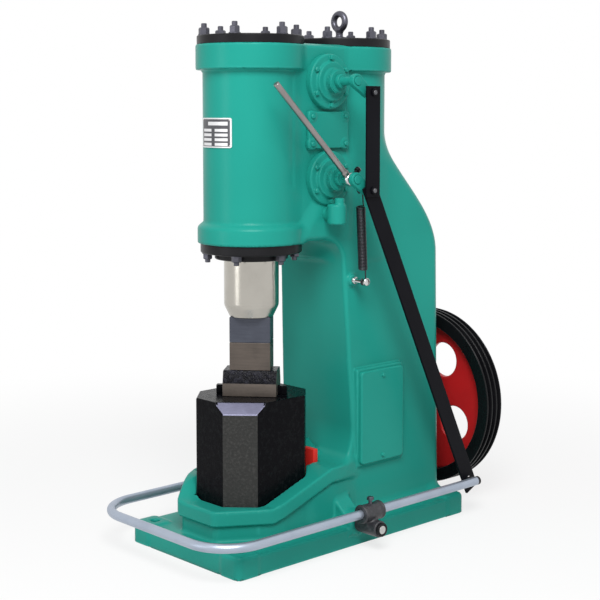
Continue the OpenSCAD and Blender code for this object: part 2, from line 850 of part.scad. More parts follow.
// Closed body of the return spring with a straight hook at each end, from the stud up to the knee pin
module return_spring() {
    reach = [spring_top_x - spring_low_x, knee_y - stud_y, knee_z - stud_z];
    span = norm(reach);
    hook_low = stud_r + rest_gap;
    hook_high = span - pin_r - rest_gap;
    body_high = span - spring_hook - knee_hook;
    color(shop_black)
        translate([spring_low_x, stud_y, stud_z])
            rotate([0, acos(reach.z / span), atan2(reach.y, reach.x)]) {
                translate([0, 0, spring_hook]) cylinder(r = spring_r, h = body_high - spring_hook);
                translate([0, 0, hook_low]) cylinder(r = spring_wire_r, h = spring_hook);
                translate([0, 0, body_high - overlap])
                    cylinder(r = spring_wire_r, h = hook_high - body_high + overlap);
            }
}

module pivot_pin() {
    color(shop_black)
        translate([0, pivot_y, pivot_z]) {
            rod_along_x(pivot_r, column_foot_half, pivot_head_x + pivot_head_t);
            rod_along_x(pivot_r + pivot_head_wall, pivot_head_x, pivot_head_x + pivot_head_t);
        }
}

module right_pivot_pin() {
    pivot_pin();
}

module left_pivot_pin() {
    mirror([1, 0, 0]) pivot_pin();
}

module bearing_housing() {
    color(cast_green)
        translate([0, 0, shaft_z])
            difference() {
                union() {
                    rod_along_y(housing_r, column_rear_y, column_rear_y + housing_flange_t);
                    rod_along_y(housing_nose_r, column_rear_y, housing_end_y);
                }
                rod_along_y(shaft_r + run_gap, column_rear_y - overlap, housing_end_y + overlap);
            }
}

module ram() {
    color(bare_steel) {
        translate([0, front_cyl_y, ram_low_z + ram_nose_h])
            cylinder(r = ram_r, h = ram_top_z - ram_low_z - ram_nose_h);
        translate([0, front_cyl_y, ram_low_z]) cylinder(r1 = ram_nose_r, r2 = ram_r, h = ram_nose_h);
        at_dies()
            difference() {
                block([-die_w / 2, -die_d / 2, shank_low_z], [die_w / 2, die_d / 2, ram_low_z + overlap]);
                block([-die_w, -key_w / 2 - seat_gap, shank_low_z - overlap],
                      [die_w, key_w / 2 + seat_gap, shank_low_z + key_h / 2 + seat_gap]);
            }
    }
}

module upper_die() {
    color(foundry_grey)
        at_dies()
            difference() {
                block([-die_w / 2, -die_d / 2, upper_die_low_z],
                      [die_w / 2, die_d / 2, shank_low_z - seat_gap]);
                block([-die_w, -key_w / 2 - seat_gap, shank_low_z - key_h / 2 - seat_gap],
                      [die_w, key_w / 2 + seat_gap, shank_low_z]);
            }
}

module upper_die_key() {
    color(shop_black)
        at_dies()
            block([-die_w / 2, -key_w / 2, shank_low_z - key_h / 2],
                  [die_w / 2, key_w / 2, shank_low_z + key_h / 2]);
}

// Rim section with its belt grooves, drawn as radius against width
module rim_section() {
    pitch = (rim_w - rim_land) / grooves;
    mouth_half = (pitch - rim_land) / 2;
    root_half = mouth_half - groove_d * tan(groove_slope);
    difference() {
        translate([rim_inner_r, 0]) square([rim_depth, rim_w]);
        for (i = [0 : grooves - 1])
            translate([wheel_r, rim_w / 2 + (i - (grooves - 1) / 2) * pitch])
                polygon([[-groove_d, -root_half], [0, -mouth_half], [overlap, -mouth_half],
                         [overlap, mouth_half], [0, mouth_half], [-groove_d, root_half]]);
    }
}

module flywheel_rim() {
    color(shop_black)
        translate([0, wheel_back_y, shaft_z]) rotate([90, 0, 0]) rotate_extrude($fn = 96) rim_section();
}

module flywheel_web() {
    color(signal_red)
        translate([0, 0, shaft_z])
            difference() {
                union() {
                    rod_along_y(rim_inner_r - seat_gap, web_front_y, web_front_y + web_t);
                    rod_along_y(hub_r, wheel_front_y, wheel_back_y);
                }
                rod_along_y(shaft_r + seat_gap, wheel_front_y - overlap, wheel_back_y + overlap);
                for (i = [0 : 3])
                    rotate([0, -web_hole_turn - 90 * i, 0]) translate([web_hole_at, 0, 0])
                        rod_along_y(web_hole_r, wheel_front_y - overlap, wheel_back_y + overlap);
            }
}

module crankshaft_end() {
    color(bare_steel)
        translate([0, 0, shaft_z]) rod_along_y(shaft_r, column_rear_y + side_gap, shaft_end_y);
}

// Hexagon cap nut on a washer
module flywheel_nut() {
    color(shop_black)
        translate([0, wheel_back_y, shaft_z])
            difference() {
                union() {
                    rod_along_y(shaft_r + washer_wall, 0, washer_t);
                    rotate([-90, 0, 0]) cylinder(r = shaft_r + wheel_nut_wall, h = wheel_nut_h, $fn = 6);
                }
                rod_along_y(shaft_r + seat_gap, -overlap, shaft_proud + seat_gap);
            }
}

// Quarter bend of the treadle pipe at the front right corner
module hoop_bend() {
    translate([hoop_half - hoop_bend_r, hoop_bend_y, pipe_z])
        rotate([0, 0, -90]) rotate_extrude(angle = 90) translate([hoop_bend_r, 0]) circle(r = pipe_r);
}

module treadle_hoop() {
    color(bare_steel) {
        translate([hoop_half, 0, pipe_z]) rod_along_y(pipe_r, hoop_bend_y, rod_foot_y + pipe_r);
        translate([-hoop_half, 0, pipe_z]) rod_along_y(pipe_r, hoop_bend_y, left_arm_end_y);
        translate([0, hoop_front_y, pipe_z])
            rod_along_x(pipe_r, hoop_bend_r - hoop_half, hoop_half - hoop_bend_r);
        hoop_bend();
        mirror([1, 0, 0]) hoop_bend();
    }
}

// Casting that clamps the pipe above and turns on the pivot pin below
module tee() {
    color(shop_black)
        difference() {
            union() {
                translate([hoop_half, pivot_y, pipe_z]) rod_along_y(sleeve_r, -sleeve_l / 2, sleeve_l / 2);
                translate([0, pivot_y, pivot_z]) rod_along_x(pivot_r + pivot_wall, tee_start_x, tee_end_x);
            }
            translate([hoop_half, pivot_y, pipe_z]) rod_along_y(pipe_r + seat_gap, -sleeve_l, sleeve_l);
            translate([0, pivot_y, pivot_z])
                rod_along_x(pivot_r + run_gap, tee_start_x - overlap, tee_end_x + overlap);
        }
}

module right_tee() {
    tee();
}

module left_tee() {
    mirror([1, 0, 0]) tee();
}

module rod_foot_pin() {
    color(shop_black)
        translate([0, rod_foot_y, pipe_z])
            difference() {
                union() {
                    rod_along_x(pin_r, rod_x - 2 * overlap, foot_pin_end_x);
                    rod_along_x(pin_r + pin_head_wall, rod_x + link_t + side_gap, foot_pin_end_x);
                }
                translate([hoop_half, 0, 0]) rod_along_y(pipe_r + seat_gap, -side_reach, side_reach);
            }
}

module spindle(axis_z) {
    color(bare_steel)
        translate([0, valve_y, axis_z]) {
            rod_along_x(spindle_r, chest_x + rest_gap, spindle_end_x);
            rod_along_x(spindle_r + spindle_collar_wall, bearing_end_x + side_gap,
                        bearing_end_x + side_gap + spindle_collar_l);
        }
}

module upper_spindle() {
    spindle(upper_valve_z);
}

module lower_spindle() {
    spindle(lower_valve_z);
}

// Tapered crank outline from a hub at the origin to an eye along +X
function crank_outline(hub, eye, length) =
    let (tangent = acos((hub - eye) / length))
    concat(arc([0, 0], hub, hub, tangent, 360 - tangent, 20),
           arc([length, 0], eye, eye, -tangent, tangent, 12));

// Flat crank arm clamped on a spindle, with a bored eye for the link pin
module crank(axis_z) {
    color(cast_green)
        translate([0, valve_y, axis_z])
            difference() {
                side_extrude(crank_x, crank_x + crank_t)
                    rotate(-crank_drop)
                        polygon(crank_outline(spindle_r + crank_wall, pin_r + crank_wall, crank_len));
                rod_along_x(spindle_r + seat_gap, crank_x - overlap, crank_x + crank_t + overlap);
                translate([0, crank_tip_y, crank_tip_z])
                    rod_along_x(pin_r + seat_gap, crank_x - overlap, crank_x + crank_t + overlap);
            }
}

module upper_crank() {
    crank(upper_valve_z);
}

module lower_crank() {
    crank(lower_valve_z);
}

// Link pin with a head outside the bars
module link_pin(axis_z, inner_x) {
    color(shop_black)
        translate([0, knee_y, axis_z]) {
            rod_along_x(pin_r, inner_x, pin_head_x + pin_head_t);
            rod_along_x(pin_r + pin_head_wall, pin_head_x, pin_head_x + pin_head_t);
        }
}

module upper_crank_pin() {
    link_pin(bar_top_z, crank_x - overlap);
}

module knee_pin() {
    link_pin(knee_z, spring_top_x - pin_r);
}

// Everything inside the hand lever's hub, for parts that end on it
module lever_hub_clear() {
    translate([0, valve_y, lower_valve_z]) rod_along_x(lever_hub_r + seat_gap, 0, side_reach);
}

module lever_hub() {
    color(bare_steel)
        translate([lever_x - lever_hub_w / 2, valve_y, lower_valve_z])
            difference() {
                rod_along_x(lever_hub_r, 0, lever_hub_w);
                rod_along_x(spindle_r + seat_gap, -overlap, lever_hub_w + overlap);
            }
}

module hand_lever() {
    color(bare_steel)
        difference() {
            translate([lever_x, valve_y, lower_valve_z]) rotate([-lever_rise, 0, 0])
                rod_along_y(lever_r, -lever_len, -spindle_r);
            lever_hub_clear();
        }
}

module lever_screw() {
    head_h = lever_screw_r + overlap;
    color(shop_black)
        difference() {
            translate([lever_x, valve_y, lower_valve_z]) rotate([lever_screw_rise, 0, 0]) {
                rod_along_y(lever_screw_r / 2, spindle_r, spindle_r + lever_screw_l);
                rod_along_y(lever_screw_r, spindle_r + lever_screw_l - head_h, spindle_r + lever_screw_l);
            }
            lever_hub_clear();
        }
}

module link_bar() {
    color(shop_black)
        difference() {
            block([bar_x, knee_y - link_w / 2, knee_z - link_end],
                  [bar_x + link_t, knee_y + link_w / 2, bar_top_z + link_end]);
            for (z = [knee_z, bar_top_z])
                translate([0, knee_y, z])
                    rod_along_x(pin_r + run_gap, bar_x - overlap, bar_x + link_t + overlap);
        }
}

// Leaning flat rod from the knee to the treadle; its lower eye has play round the foot pin
module pull_rod() {
    color(shop_black)
        translate([0, knee_y, knee_z]) rotate([rod_lean, 0, 0])
            difference() {
                block([rod_x, -link_w / 2, -rod_len - rod_foot_end], [rod_x + link_t, link_w / 2, link_end]);
                rod_along_x(pin_r + run_gap, rod_x - overlap, rod_x + link_t + overlap);
                translate([0, 0, -rod_len])
                    rod_along_x(pin_r + foot_play, rod_x - overlap, rod_x + link_t + overlap);
            }
}

frame_casting();
anvil();
rear_wedge();
side_wedge();
lower_die();
lower_die_key();
front_cylinder_cover();
rear_cylinder_cover();
lifting_eye();
ram_gland();
upper_valve_cover();
lower_valve_cover();
chest_cover();
exhaust_elbow();
side_cover();
data_plate();
spring_stud();
return_spring();
right_pivot_pin();
left_pivot_pin();
bearing_housing();
ram();
upper_die();
upper_die_key();
flywheel_rim();
flywheel_web();
crankshaft_end();
flywheel_nut();
treadle_hoop();
right_tee();
left_tee();
rod_foot_pin();
upper_spindle();
upper_crank();
upper_crank_pin();
lower_spindle();
lower_crank();
knee_pin();
lever_hub();
hand_lever();
lever_screw();
link_bar();
pull_rod();
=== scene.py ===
import json
import math

import bmesh
import bpy
import numpy as np
from mathutils import Matrix, Vector


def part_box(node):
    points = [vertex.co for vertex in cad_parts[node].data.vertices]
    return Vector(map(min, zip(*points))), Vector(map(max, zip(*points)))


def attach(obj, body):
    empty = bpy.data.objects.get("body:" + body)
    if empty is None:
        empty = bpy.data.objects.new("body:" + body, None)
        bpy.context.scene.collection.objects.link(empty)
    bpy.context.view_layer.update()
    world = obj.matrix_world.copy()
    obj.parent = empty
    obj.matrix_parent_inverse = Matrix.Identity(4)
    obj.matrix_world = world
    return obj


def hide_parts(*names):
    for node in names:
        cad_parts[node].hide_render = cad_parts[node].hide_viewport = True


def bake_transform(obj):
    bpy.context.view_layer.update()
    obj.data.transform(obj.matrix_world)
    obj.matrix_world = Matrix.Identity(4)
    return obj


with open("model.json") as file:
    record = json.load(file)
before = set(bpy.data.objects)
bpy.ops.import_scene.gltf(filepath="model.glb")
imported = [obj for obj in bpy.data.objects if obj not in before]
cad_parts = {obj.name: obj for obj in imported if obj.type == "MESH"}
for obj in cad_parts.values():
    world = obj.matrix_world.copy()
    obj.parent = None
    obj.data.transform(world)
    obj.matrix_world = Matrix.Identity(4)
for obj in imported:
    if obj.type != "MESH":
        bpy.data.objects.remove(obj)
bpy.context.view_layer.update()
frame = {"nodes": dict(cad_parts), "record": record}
record = frame["record"]
bodyOf = {node: body for body, nodes in record["behaviour"]["bodies"].items() for node in nodes}
print("frame loaded with", len(frame["nodes"]), "nodes")


# Shader and node maths
class Wire:                                   # a socket of a node tree that can stand in a sum
    def __init__(self, tree, socket=None):
        self.tree = tree
        self.socket = socket

    def make(self, kind, settings=None, values=None, out=0):   # any node: settings first, then sockets
        node = self.tree.nodes.new(kind)
        for name, value in (settings or {}).items():
            if name == "stops":
                while len(node.color_ramp.elements) < len(value):
                    node.color_ramp.elements.new(0.5)
                for element, (place, colour) in zip(node.color_ramp.elements, value):
                    element.position = place
                    element.color = (*colour, 1)
            else:
                setattr(node, name, value)
        for name, value in (values or {}).items():
            plug(self.tree, node.inputs[name], value)
        return Wire(self.tree, node.outputs[out])

    def math(self, operation, first, second):
        return self.make("ShaderNodeMath", {"operation": operation}, {0: first, 1: second})

    def __add__(self, other):
        return self.math("ADD", self, other)

    def __radd__(self, other):
        return self.math("ADD", other, self)

    def __sub__(self, other):
        return self.math("SUBTRACT", self, other)

    def __rsub__(self, other):
        return self.math("SUBTRACT", other, self)

    def __mul__(self, other):
        return self.math("MULTIPLY", self, other)

    def __rmul__(self, other):
        return self.math("MULTIPLY", other, self)

    def __truediv__(self, other):
        return self.math("DIVIDE", self, other)

    def step(self, low, high):                # smooth rise from 0 at low to 1 at high
        return self.make("ShaderNodeMapRange", {"interpolation_type": "SMOOTHSTEP"},
                         {"Value": self, "From Min": low, "From Max": high})

    def within(self, ends, soft):             # 1 between two ends, with soft edges
        return self.step(ends[0], ends[0] + soft) * (1 - self.step(ends[1] - soft, ends[1]))

    def noise(self, scale, detail=3, rough=0.5):
        return self.make("ShaderNodeTexNoise", {},
                         {"Vector": self, "Scale": scale, "Detail": detail, "Roughness": rough})

    def stretch(self, x, y, z):               # the same place, seen at another scale along each axis
        return self.make("ShaderNodeVectorMath", {"operation": "MULTIPLY"}, {0: self, 1: (x, y, z)})

    def tint(self, low, high):                # colour mix with this value as the share
        return self.make("ShaderNodeMix", {"data_type": "RGBA"}, {0: self, 6: low, 7: high}, out=2)

    def bump(self, strength, distance):
        return self.make("ShaderNodeBump", {}, {"Strength": strength, "Distance": distance, "Height": self})

    def attribute(self, name):
        return self.make("ShaderNodeAttribute", {"attribute_name": name}, out="Fac")

    def other(self, name):                    # another output of the same node
        return Wire(self.tree, self.socket.node.outputs[name])


def plug(tree, socket, value):
    if isinstance(value, Wire):
        tree.links.new(value.socket, socket)
    elif isinstance(value, tuple) and socket.type == "RGBA" and len(value) == 3:
        socket.default_value = (*value, 1)
    else:
        socket.default_value = value


def startFinish(name):                        # new material, its shader and its place on the object
    material = bpy.data.materials.new(name)
    material.use_nodes = True
    tree = material.node_tree
    tree.nodes.clear()
    output = tree.nodes.new("ShaderNodeOutputMaterial")
    shader = tree.nodes.new("ShaderNodeBsdfPrincipled")
    tree.links.new(shader.outputs[0], output.inputs[0])
    return material, shader, Wire(tree).make("ShaderNodeTexCoord", out="Object")


def feed(shader, values):
    for name, value in values.items():
        plug(shader.id_data, shader.inputs[name], value)


# Finishes
def castPaint(name, colour, shade, edge, gloss):   # brushed gloss paint over a sand casting
    material, shader, place = startFinish(name)
    drift = place.noise(2.6, 2).step(0.3, 0.7)
    grain = place.noise(210, 2)
    peel = place.noise(820, 1)
    # Outer edges are lightened toward the edge colour: partly paint wear, partly a painted highlight.
    worn = place.attribute("worn").step(0.25, 0.8) * (0.35 + 0.65 * place.noise(46, 3).step(0.35, 0.65))
    # Inner corners are darkened toward the shade colour: painted shade.
    soot = place.attribute("soot").step(0.15, 0.9)
    body = (drift * 0.6 + soot * 0.55).tint(colour, shade)
    feed(shader, {
        "Base Color": (worn * 0.55).tint(body, edge),
        "Roughness": gloss + 0.10 * drift + 0.16 * soot,
        "Normal": (grain * 0.8 + peel * 0.2).bump(0.16, 0.0011),
        "Specular IOR Level": 0.12,
    })
    return material


def shopPaint(name, colour, dust, gloss, shine=0.5):   # plain sprayed paint with dust and small scuffs
    material, shader, place = startFinish(name)
    cloud = place.noise(9, 3).step(0.35, 0.75)
    speck = place.noise(330, 2).step(0.62, 0.78)
    scuff = place.stretch(1, 1, 0.16).noise(120, 3).step(0.66, 0.8)
    feed(shader, {
        "Base Color": (cloud * 0.35 + speck * 0.3 + scuff * 0.35).tint(colour, dust),
        "Roughness": gloss + 0.12 * cloud + 0.16 * scuff,
        "Normal": place.noise(520, 2).bump(0.12, 0.0006),
        "Specular IOR Level": shine,
    })
    return material


def scaleIron(name, colour, ash, pits, rough, shine=0.5, grain=95):   # rough casting with scale and pits
    material, shader, place = startFinish(name)
    crust = place.noise(grain, 6, 0.65)
    ashen = crust.step(0.45, 0.72) * (0.45 + 0.55 * place.noise(14, 2))
    feed(shader, {
        "Base Color": ashen.tint(colour, ash),
        "Roughness": rough + 0.2 * ashen,
        "Normal": (crust + 0.5 * place.noise(260, 3)).bump(pits, 0.0024),
        "Specular IOR Level": shine,
    })
    return material


def groundSteel(name, colour, stain, rough, lines):   # surface ground block, lines along its length
    material, shader, place = startFinish(name)
    scratch = place.stretch(*lines).noise(90, 4, 0.6)
    bloom = place.noise(22, 4).step(0.35, 0.7)
    feed(shader, {
        "Base Color": (bloom * 0.55 + 0.45 * scratch.step(0.3, 0.7)).tint(colour, stain),
        "Metallic": 0.55,
        "Roughness": rough + 0.14 * scratch - 0.06 * bloom,
        "Normal": scratch.bump(0.25, 0.0006),
    })
    return material


def brightMetal(name, colour, dull, rough, lines, metal=1.0):   # turned, drawn or plated bare metal
    material, shader, place = startFinish(name)
    draw = place.stretch(*lines).noise(160, 3, 0.55)
    film = place.noise(16, 3).step(0.35, 0.75)
    feed(shader, {
        "Base Color": (film * 0.5 + draw * 0.25).tint(colour, dull),
        "Metallic": metal,
        "Roughness": rough + 0.08 * draw + 0.08 * film,
        "Normal": draw.bump(0.06, 0.0003),
    })
    return material


plateLayout = {                               # shares of the plate's width and height
    "columns": (2.16, 0.08), "rows": (6.4, 0.22), "boxWide": (0.10, 0.90), "boxTall": (0.20, 0.86),
    "table": ((0.05, 0.95), (0.05, 0.65)), "band": ((0.30, 0.92), (0.74, 0.88)),
    "border": ((0.03, 0.97), (0.035, 0.965)),
}


def blankPlate(name):                         # printed data plate with its boxes left empty
    material, shader, place = startFinish(name)
    across = place.make("ShaderNodeUVMap", {"uv_map": "plate"})
    u = across.make("ShaderNodeSeparateXYZ", {}, {0: across})
    v = u.other(1)

    def repeats(along, often):                # the same 0 to 1, several times over
        return along.make("ShaderNodeMath", {"operation": "FRACT"}, {0: along * often[0] - often[1]})

    def panel(ends, soft):
        return u.within(ends[0], soft[0]) * v.within(ends[1], soft[1])

    column, row = repeats(u, plateLayout["columns"]), repeats(v, plateLayout["rows"])
    boxes = column.within(plateLayout["boxWide"], 0.04) * row.within(plateLayout["boxTall"], 0.06)
    table = boxes * panel(plateLayout["table"], (0.01, 0.02))
    band = panel(plateLayout["band"], (0.02, 0.02))
    inner = panel(plateLayout["border"], (0.015, 0.015))
    printed = inner * (1 - table) * (1 - band)
    grime = place.noise(40, 3).step(0.4, 0.8)
    feed(shader, {
        "Base Color": (printed * 0.96).tint((0.74, 0.74, 0.75), (0.028, 0.028, 0.036)),
        "Metallic": 0.5 - 0.45 * printed,
        "Roughness": 0.34 + 0.12 * grime,
        "Normal": printed.bump(0.2, 0.0003),
    })
    return material


# The third colour, a lighter green for outer edges, is partly a painted highlight.
greenPaint = castPaint("hammer_green", (0.014, 0.288, 0.232), (0.010, 0.212, 0.172),
                       (0.050, 0.42, 0.36), 0.28)
blackPaint = shopPaint("cover_black", (0.005, 0.005, 0.006), (0.016, 0.016, 0.019), 0.34, 0.18)
rodPaint = shopPaint("rod_black", (0.004, 0.004, 0.006), (0.010, 0.010, 0.013), 0.40, 0.06)
rimPaint = shopPaint("rim_black", (0.004, 0.004, 0.005), (0.012, 0.012, 0.014), 0.24, 0.20)
redPaint = shopPaint("wheel_red", (0.50, 0.014, 0.016), (0.32, 0.011, 0.013), 0.28, 0.25)
wedgePaint = shopPaint("wedge_red", (0.76, 0.032, 0.024), (0.50, 0.022, 0.018), 0.32, 0.25)
anvilIron = scaleIron("anvil_black", (0.002, 0.002, 0.003), (0.008, 0.009, 0.010), 0.26, 0.22, 0.05)
facetIron = scaleIron("anvil_facet", (0.028, 0.028, 0.027), (0.060, 0.059, 0.057), 0.9, 0.55, 0.15, 170)
bevelSteel = groundSteel("anvil_bevel", (0.150, 0.150, 0.222), (0.105, 0.105, 0.160), 0.38, (1, 1, 6))
dieSteel = groundSteel("die_steel", (0.105, 0.086, 0.073), (0.067, 0.056, 0.048), 0.40, (0.2, 0.2, 3))
dieScale = scaleIron("die_scale", (0.003, 0.003, 0.005), (0.030, 0.030, 0.044), 0.8, 0.20, 0.10)
shankSteel = groundSteel("shank_steel", (0.072, 0.080, 0.103), (0.051, 0.056, 0.075), 0.36, (0.2, 0.2, 3))
ramSteel = brightMetal("ram_steel", (0.48, 0.46, 0.415), (0.41, 0.39, 0.35), 0.15, (0.6, 0.6, 14))
pipeSteel = brightMetal("pipe_zinc", (0.40, 0.45, 0.535), (0.31, 0.36, 0.445), 0.30, (3, 0.4, 3), 0.72)
leverSteel = brightMetal("lever_steel", (0.34, 0.31, 0.305), (0.23, 0.205, 0.20), 0.22, (1, 1, 1))
chromeSteel = brightMetal("chrome_steel", (0.66, 0.66, 0.66), (0.50, 0.50, 0.50), 0.10, (1, 1, 1))
pinSteel = brightMetal("pin_steel", (0.16, 0.16, 0.17), (0.09, 0.09, 0.10), 0.34, (1, 1, 1))
shaftSteel = brightMetal("shaft_steel", (0.58, 0.57, 0.56), (0.42, 0.41, 0.40), 0.26, (8, 8, 8))
nutSteel = brightMetal("nut_steel", (0.11, 0.11, 0.135), (0.05, 0.05, 0.06), 0.32, (3, 3, 3), 0.85)
teeIron = scaleIron("tee_iron", (0.022, 0.022, 0.026), (0.060, 0.060, 0.068), 0.35, 0.40)
springSteel = brightMetal("spring_black", (0.045, 0.045, 0.052), (0.02, 0.02, 0.022), 0.28, (2, 2, 2), 0.7)
plateMetal = blankPlate("data_plate_print")
print("finishes ready:", len(bpy.data.materials))


# Mesh making
def addMesh(name, points, faces):
    mesh = bpy.data.meshes.new(name)
    mesh.from_pydata([tuple(p) for p in points], [], [tuple(f) for f in faces])
    work = bmesh.new()
    work.from_mesh(mesh)
    bmesh.ops.remove_doubles(work, verts=work.verts, dist=1e-6)
    bmesh.ops.recalc_face_normals(work, faces=work.faces)
    work.to_mesh(mesh)
    work.free()
    return mesh


def joinMeshes(name, meshes):                     # several closed meshes as one
    work = bmesh.new()
    for mesh in meshes:
        work.from_mesh(mesh)
    total = bpy.data.meshes.new(name)
    work.to_mesh(total)
    work.free()
    return total


def smoothed(mesh, angle=38):
    mesh.shade_smooth()
    mesh.set_sharp_from_angle(angle=math.radians(angle))
    return mesh


def addPiece(name, mesh, finish, node, replace=True, even=True, bend=None):   # rides with its node's body, unless a bend is given: then it is only fixed in place
    piece = bpy.data.objects.new(name, mesh)
    bpy.context.scene.collection.objects.link(piece)
    if not mesh.materials:
        mesh.materials.append(finish)
    if even:
        normals = piece.modifiers.new("even", "WEIGHTED_NORMAL")
        normals.keep_sharp = True
    if bend:
        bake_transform(piece)
    else:
        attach(piece, bodyOf[node])
    if replace:
        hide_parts(node)
    return piece


def eased(points, radii, closed=False, steps=4):   # outline with its corners turned into arcs
    corners = [Vector(p) for p in points]
    count = len(corners)
    if not isinstance(radii, (list, tuple)):
        radii = [radii] * count
    line = []
    for i, corner in enumerate(corners):
        if radii[i] == 0 or (not closed and i in (0, count - 1)):
            line.append(corner)
            continue
        back = corners[i - 1] - corner
        ahead = corners[(i + 1) % count] - corner
        half = back.angle(ahead) / 2
        cut = min(radii[i] / math.tan(half), 0.49 * back.length, 0.49 * ahead.length)
        centre = corner + (back.normalized() + ahead.normalized()).normalized() * cut / math.cos(half)
        start = corner + back.normalized() * cut - centre
        end = corner + ahead.normalized() * cut - centre
        turn = start.angle(end)
        for k in range(steps + 1):
            t = k / steps
            spoke = start * math.sin((1 - t) * turn) + end * math.sin(t * turn)
            line.append(centre + spoke / math.sin(turn))
    return line


def loft(name, rings, closed=False):          # skin over rings of equal counts, ends capped unless closed
    rings = np.array(rings, float)
    turns, count = rings.shape[:2]
    faces = []
    for i in range(turns if closed else turns - 1):
        low, high = i * count, (i + 1) % turns * count
        faces += [(low + k, low + (k + 1) % count, high + (k + 1) % count, high + k) for k in range(count)]
    if not closed:
        faces.append(tuple(range(count)))
        faces.append(tuple(range((turns - 1) * count, turns * count)))
    return addMesh(name, rings.reshape(-1, 3), faces)


def acrossAxes(axis):                         # two unit vectors square to an axis
    axis = Vector(axis).normalized()
    side = axis.cross(Vector((0, 0, 1)))
    if side.length < 1e-6:
        side = Vector((1, 0, 0))
    side.normalize()
    return axis, side, axis.cross(side)


def spokesOf(side, up, count, first=0.0):     # unit vectors evenly round an axis
    angles = [first + 2 * math.pi * k / count for k in range(count)]
    return [side * math.cos(a) + up * math.sin(a) for a in angles]


def lathe(name, profile, centre, axis, segments=72, closed=False):   # profile is (radius, along) pairs
    axis, side, up = acrossAxes(axis)
    spokes = spokesOf(side, up, segments)
    rings = [[Vector(centre) + axis * along + spoke * radius for spoke in spokes]
             for radius, along in profile]
    return loft(name, rings, closed)


def sweep(name, path, radius, segments=20, hollow=0.0):   # round bar or open pipe along a path
    path = [Vector(p) for p in path]
    ahead = [(path[min(i + 1, len(path) - 1)] - path[max(i - 1, 0)]).normalized() for i in range(len(path))]
    side = acrossAxes(ahead[0])[1]
    boreDeep = 3 * radius
    rings = []
    for i, point in enumerate(path):
        side = (side - ahead[i] * side.dot(ahead[i])).normalized()
        spokes = spokesOf(side, ahead[i].cross(side), segments)
        rings.append([point + spoke * radius for spoke in spokes])
        if hollow and i in (0, len(path) - 1):
            mouth = [point + spoke * hollow for spoke in spokes]
            inward = ahead[i] * (boreDeep if i == 0 else -boreDeep)
            bottom = [spot + inward for spot in mouth]
            rings = [bottom, mouth] + rings if i == 0 else rings + [mouth, bottom]
    return loft(name, rings)


def insetOutline(outline, amount):            # closed outline, drawn in evenly
    points = np.array([tuple(p) for p in outline], float)
    before = points - np.roll(points, 1, 0)
    after = np.roll(points, -1, 0) - points
    normals = [np.stack([e[:, 1], -e[:, 0]], 1) / np.linalg.norm(e, axis=1)[:, None]
               for e in (before, after)]
    middle = normals[0] + normals[1]
    middle /= np.maximum((middle * normals[0]).sum(1), 1e-6)[:, None]
    area = 0.5 * (points[:, 0] * np.roll(points[:, 1], -1) - np.roll(points[:, 0], -1) * points[:, 1]).sum()
    return points - amount * math.copysign(1, area) * middle


def plate(name, outline, thick, edge, toPlace, steps=4):   # flat cover with a rounded outer edge
    rings = []
    levels = [(0, 0)]
    for k in range(steps + 1):
        a = math.pi / 2 * k / steps
        levels.append((edge * (1 - math.cos(a)), thick - edge * (1 - math.sin(a))))
    for inset, height in levels:
        rings.append([toPlace(u, v, height) for u, v in insetOutline(outline, inset)])
    return loft(name, rings)


def roundedRectangle(wide, tall, radius):
    corners = [(-wide / 2, -tall / 2), (wide / 2, -tall / 2), (wide / 2, tall / 2), (-wide / 2, tall / 2)]
    return eased(corners, radius, closed=True, steps=6)


def chamferedCopy(node, width, segments=2, angle=28):   # the CAD solid with its edges broken
    work = bmesh.new()
    work.from_mesh(frame["nodes"][node].data)
    bmesh.ops.remove_doubles(work, verts=work.verts, dist=2e-6)
    bmesh.ops.dissolve_limit(work, angle_limit=math.radians(0.5), verts=work.verts, edges=work.edges)
    edges = [e for e in work.edges if e.is_manifold and e.calc_face_angle(0) > math.radians(angle)]
    bmesh.ops.bevel(work, geom=edges, offset=width, offset_type="OFFSET", segments=segments, profile=0.5,
                    affect="EDGES", clamp_overlap=False)
    mesh = bpy.data.meshes.new(node + "_mesh")
    work.to_mesh(mesh)
    work.free()
    return smoothed(mesh)


def paintFaces(mesh, finishes, choose):       # choose turns a face's normal and middle into an index
    for finish in finishes:
        mesh.materials.append(finish)
    for face in mesh.polygons:
        face.material_index = choose(face.normal, face.center)


# Smooth casting shapes, as distance fields
def roundUnion(a, b, r):                      # joins two fields with a fillet of radius r
    return np.maximum(r, np.minimum(a, b)) - np.hypot(np.maximum(r - a, 0), np.maximum(r - b, 0))


def roundBoth(a, b, r):                       # keeps what lies in both, with rounded edges
    return -roundUnion(-a, -b, r)


def roundCut(a, b, r):
    return -roundUnion(-a, b, r)


def share(value, ends):                       # 0 at the first end, 1 at the second
    return np.clip((value - ends[0]) / (ends[1] - ends[0]), 0, 1)


def blockField(x, y, z, low, high, edge):
    parts = [np.abs(v - (a + b) / 2) - (b - a) / 2 + edge for v, a, b in zip((x, y, z), low, high)]
    outside = np.sqrt(sum(np.maximum(p, 0) ** 2 for p in parts))
    return outside + np.minimum(np.maximum(np.maximum(parts[0], parts[1]), parts[2]), 0) - edge


def drumField(u, v, w, radius, low, high, edge):   # round bar along w
    reach = np.hypot(u, v) - radius + edge
    along = np.abs(w - (low + high) / 2) - (high - low) / 2 + edge
    outside = np.hypot(np.maximum(reach, 0), np.maximum(along, 0))
    return outside + np.minimum(np.maximum(reach, along), 0) - edge


def fieldSlope(field, points, reach):
    slope = np.empty_like(points)
    for axis in range(3):
        ahead, back = points.copy(), points.copy()
        ahead[:, axis] += reach
        back[:, axis] -= reach
        slope[:, axis] = (field(*ahead.T) - field(*back.T)) / (2 * reach)
    return slope


meshing = {                                   # lengths are in cells
    "margin": 2.3, "rounds": 5, "probe": 0.02, "leastSteep": 0.05, "stray": 0.62, "normalProbe": 0.1,
    "edgeProbe": 1.6,
}


